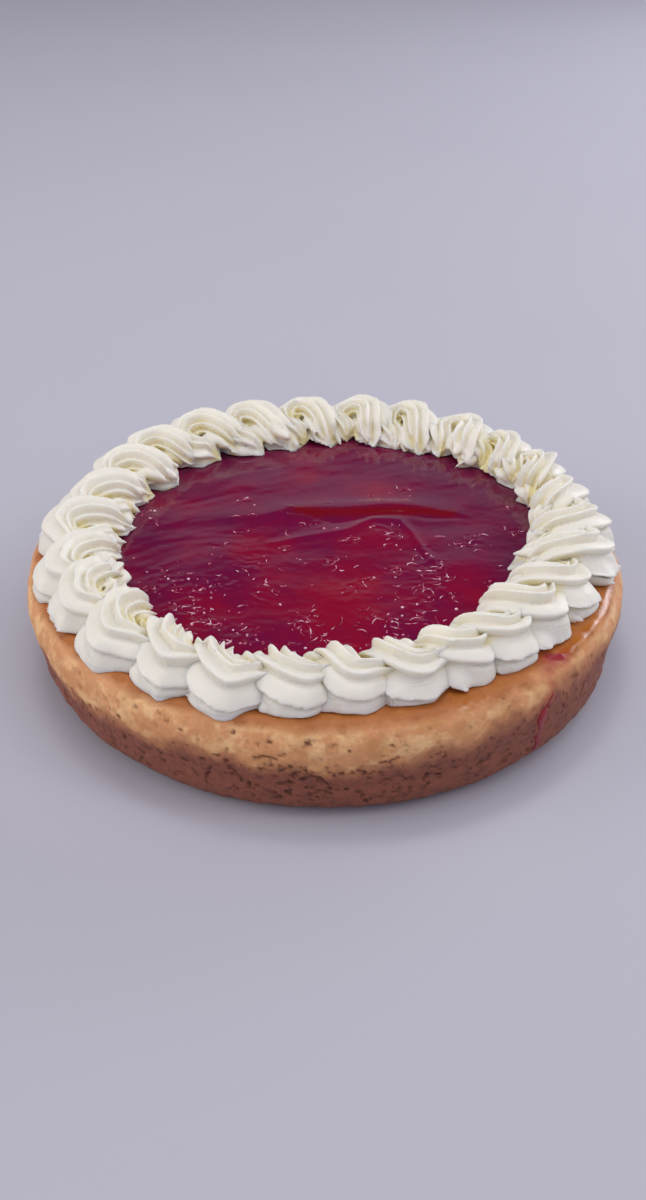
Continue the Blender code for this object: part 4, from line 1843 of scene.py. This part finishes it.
@dataclass
class CrustCrumbs:
    """Crumbs of crust that have come off along the foot of the cake."""

    ground: Cheesecake
    seed: int = 3
    middle_turn: float = 28.0
    turn_spread: float = 13.0
    near: int = 46
    stray: int = 40
    sizes: tuple[float, float] = (0.35 * MM, 0.95 * MM)
    gaps: tuple[float, float] = (0.2 * MM, 1.6 * MM)
    unevenness: float = 0.38
    lowest: float = 0.02 * MM
    dark: float = 0.6

    def build(self, finish: bpy.types.Material) -> bpy.types.Object:
        """Scatter the crumbs.

        Args:
            finish: the crust's material.

        Returns:
            One piece with all the crumbs.
        """
        chance = random.Random(self.seed)
        crumbs = []
        for index in range(self.near + self.stray):
            turn = (chance.gauss(self.middle_turn, self.turn_spread) if index < self.near
                    else chance.uniform(-180.0, 180.0))
            size = chance.uniform(*self.sizes)
            height = size * chance.uniform(0.6, 0.9)
            out = chance.uniform(*self.gaps) + size * 0.6
            spot = place_at(turn, self.ground.base_radius + out, height)
            spot.x += self.ground.lean
            bpy.ops.mesh.primitive_ico_sphere_add(subdivisions=2, radius=size, location=spot)
            crumb = bpy.context.active_object
            points = read_points(crumb)
            points *= 1.0 + self.unevenness * noise_at(points + index, size * 1.3, 31)[:, None]
            points[:, 2] *= 0.85
            write_points(crumb, points)
            crumbs.append(crumb)
        piece = join_pieces(crumbs, "crust_crumbs")
        points = read_points(piece)
        points[:, 2] = np.maximum(points[:, 2], self.lowest)
        write_points(piece, points)
        paint(piece, "baked", np.full(len(points), self.dark))
        finish_piece(piece, finish, Slot.CHEESECAKE)
        return piece


# ---- studio ---------------------------------------------------------------------------
@dataclass
class SoftLight:
    """A rectangular lamp that looks at the cake."""

    name: str
    place: tuple[float, float, float]
    width: float
    depth: float
    power: float
    colour: str

    def build(self) -> None:
        """Hang the lamp."""
        lamp = bpy.data.lights.new(self.name, "AREA")
        lamp.shape = "RECTANGLE"
        lamp.size, lamp.size_y = self.width, self.depth
        lamp.energy = self.power
        lamp.color = from_hex(self.colour)[:3]
        holder = bpy.data.objects.new(self.name, lamp)
        bpy.context.collection.objects.link(holder)
        holder.location = self.place
        holder.rotation_euler = (-Vector(self.place)).to_track_quat("-Z", "Y").to_euler()


@dataclass
class Studio:
    """The table, the soft daylight and the camera."""

    distance: float = 0.5545        # from the camera to the middle of the cake's base
    elevation: float = 0.6158       # radians
    look_up: float = 0.021
    look_aside: float = -0.0008
    lens: float = 37.5
    sensor: float = 36.0
    nearest: float = 0.01
    table: float = 12.0
    daylight: str = "e6e3f5"
    band: float = 0.50              # strength of the sky low down, above it, and in front
    dim: float = 0.05
    front: float = 0.70
    band_edges: tuple[float, float] = (35.0, 27.0)
    lights: tuple[SoftLight, ...] = (
        SoftLight("ceiling_light", (0.10, 0.05, 1.90), 1.5, 1.5, 9.8, "fbf9ff"),
        SoftLight("right_window", (1.70, 0.75, 1.05), 0.60, 0.50, 3.0, "f2f4ff"),
        SoftLight("left_window", (-1.75, -0.25, 0.85), 1.3, 1.1, 12.0, "fff8f0"),
        SoftLight("corner_window", (1.30, 1.25, 0.70), 0.90, 0.60, 10.0, "f6f6ff"),
        SoftLight("side_lamp", (1.30, -0.40, 1.30), 0.40, 0.30, 3.0, "fffaf2"),
        SoftLight("roof_window", (-0.20, 0.50, 2.30), 0.6, 0.35, 5.8, "ffffff"))

    def camera(self) -> None:
        """Place the camera in front of the cake, looking down on it."""
        eye = bpy.data.cameras.new("camera")
        eye.lens = self.lens
        eye.sensor_width = self.sensor
        eye.clip_start = self.nearest
        holder = bpy.data.objects.new("camera", eye)
        bpy.context.collection.objects.link(holder)
        pitch, yaw = self.look_up - self.elevation, self.look_aside
        forward = Vector((math.sin(yaw) * math.cos(pitch), math.cos(yaw) * math.cos(pitch),
                          math.sin(pitch)))
        right = forward.cross(Vector((0.0, 0.0, 1.0))).normalized()
        axes = Matrix((right, right.cross(forward), -forward)).transposed().to_4x4()
        place = Vector((0.0, -self.distance * math.cos(self.elevation),
                        self.distance * math.sin(self.elevation)))
        holder.matrix_world = Matrix.Translation(place) @ axes
        bpy.context.scene.camera = holder

    def sky(self) -> None:
        """Soft room light: a pale band low down all round, dimmer above it, pale in front."""
        world = bpy.data.worlds.new("room_light")
        world.use_nodes = True
        bpy.context.scene.world = world
        tree = world.node_tree
        where = add_node(tree, "TexCoord").outputs["Generated"]
        axes = add_node(tree, "SeparateXYZ", {0: where})
        high, low = (math.sin(math.radians(edge)) for edge in self.band_edges)
        band = add_node(tree, "MapRange", {0: axes.outputs["Z"], 1: high, 2: low, 3: self.dim,
                                           4: self.band}, interpolation_type="SMOOTHSTEP")
        front = add_node(tree, "MapRange", {0: axes.outputs["Y"], 1: 0.35, 2: -0.15},
                         interpolation_type="SMOOTHSTEP")
        room = add_node(tree, "Mix", {0: front.outputs[0], 2: band.outputs[0], 3: self.front},
                        data_type="FLOAT")
        back = tree.nodes["Background"]
        feed(tree, back, "Color", self.daylight)
        feed(tree, back, "Strength", room.outputs[0])

    def table_top(self) -> None:
        """Lay the table."""
        bpy.ops.mesh.primitive_plane_add(size=self.table)
        piece = fresh("table_top")
        piece.data.materials.append(TableTop().material())

    def build(self) -> None:
        """Set up everything round the cake."""
        self.camera()
        self.sky()
        self.table_top()
        for light in self.lights:
            light.build()
        bpy.context.scene.view_settings.view_transform = "Standard"


# ---- the whole cheesecake -------------------------------------------------------------
# The run of jam down the side and the smear above it, as keys of a trail.
DRIP: Keys = (
    (42.6, 124.3, 36.5, 0.7, 0.10), (42.2, 124.7, 34.2, 1.4, 0.15),
    (41.2, 124.9, 32.0, 2.0, 0.25), (40.2, 125.0, 29.6, 4.2, 0.50),
    (39.6, 124.9, 26.8, 4.6, 0.80), (39.9, 124.5, 23.2, 2.4, 0.45),
    (40.4, 123.9, 19.6, 1.6, 0.25), (40.3, 123.1, 16.0, 2.4, 0.35),
    (40.8, 122.2, 12.0, 1.8, 0.30), (40.9, 121.0, 8.4, 3.0, 0.50),
    (41.0, 119.0, 5.0, 2.0, 0.40))
SMEAR: Keys = (
    (45.6, 114.8, 44.2, 1.2, 0.08), (45.9, 116.4, 44.0, 4.0, 0.18),
    (46.6, 118.2, 43.6, 5.6, 0.26), (47.2, 119.6, 43.2, 4.6, 0.20),
    (47.6, 120.8, 42.6, 1.4, 0.08))


def main() -> None:
    """Build the studio and every piece of the cheesecake."""
    logging.basicConfig(level=logging.INFO, format="%(name)s: %(message)s")
    Studio().build()
    cake = Cheesecake()
    crust = cake.build(BakedCrust())
    layer = JamLayer()
    layer.build(StrawberryJam())
    CreamRing(ground=cake, jam=layer).build(WhippedCream())
    JamCurls(layer).build(JamFrothAndGlints())
    # Over the pale crust a thin film of jam is lighter and duller than the layer on top.
    film = StrawberryJam(thick="841624", deep="901a28", clear="981c28", bright="a2222c",
                         gloss=0.22)
    JamTrail("jam_drip", DRIP).build(crust, film.material())
    thinner = StrawberryJam(thick="98303a", deep="a0363c", clear="a4383a", bright="ac4240",
                            gloss=0.12)
    JamTrail("jam_smear", SMEAR).build(crust, thinner.material())
    CrustCrumbs(cake).build(crust.data.materials[0])


if __name__ == "__main__":
    main()
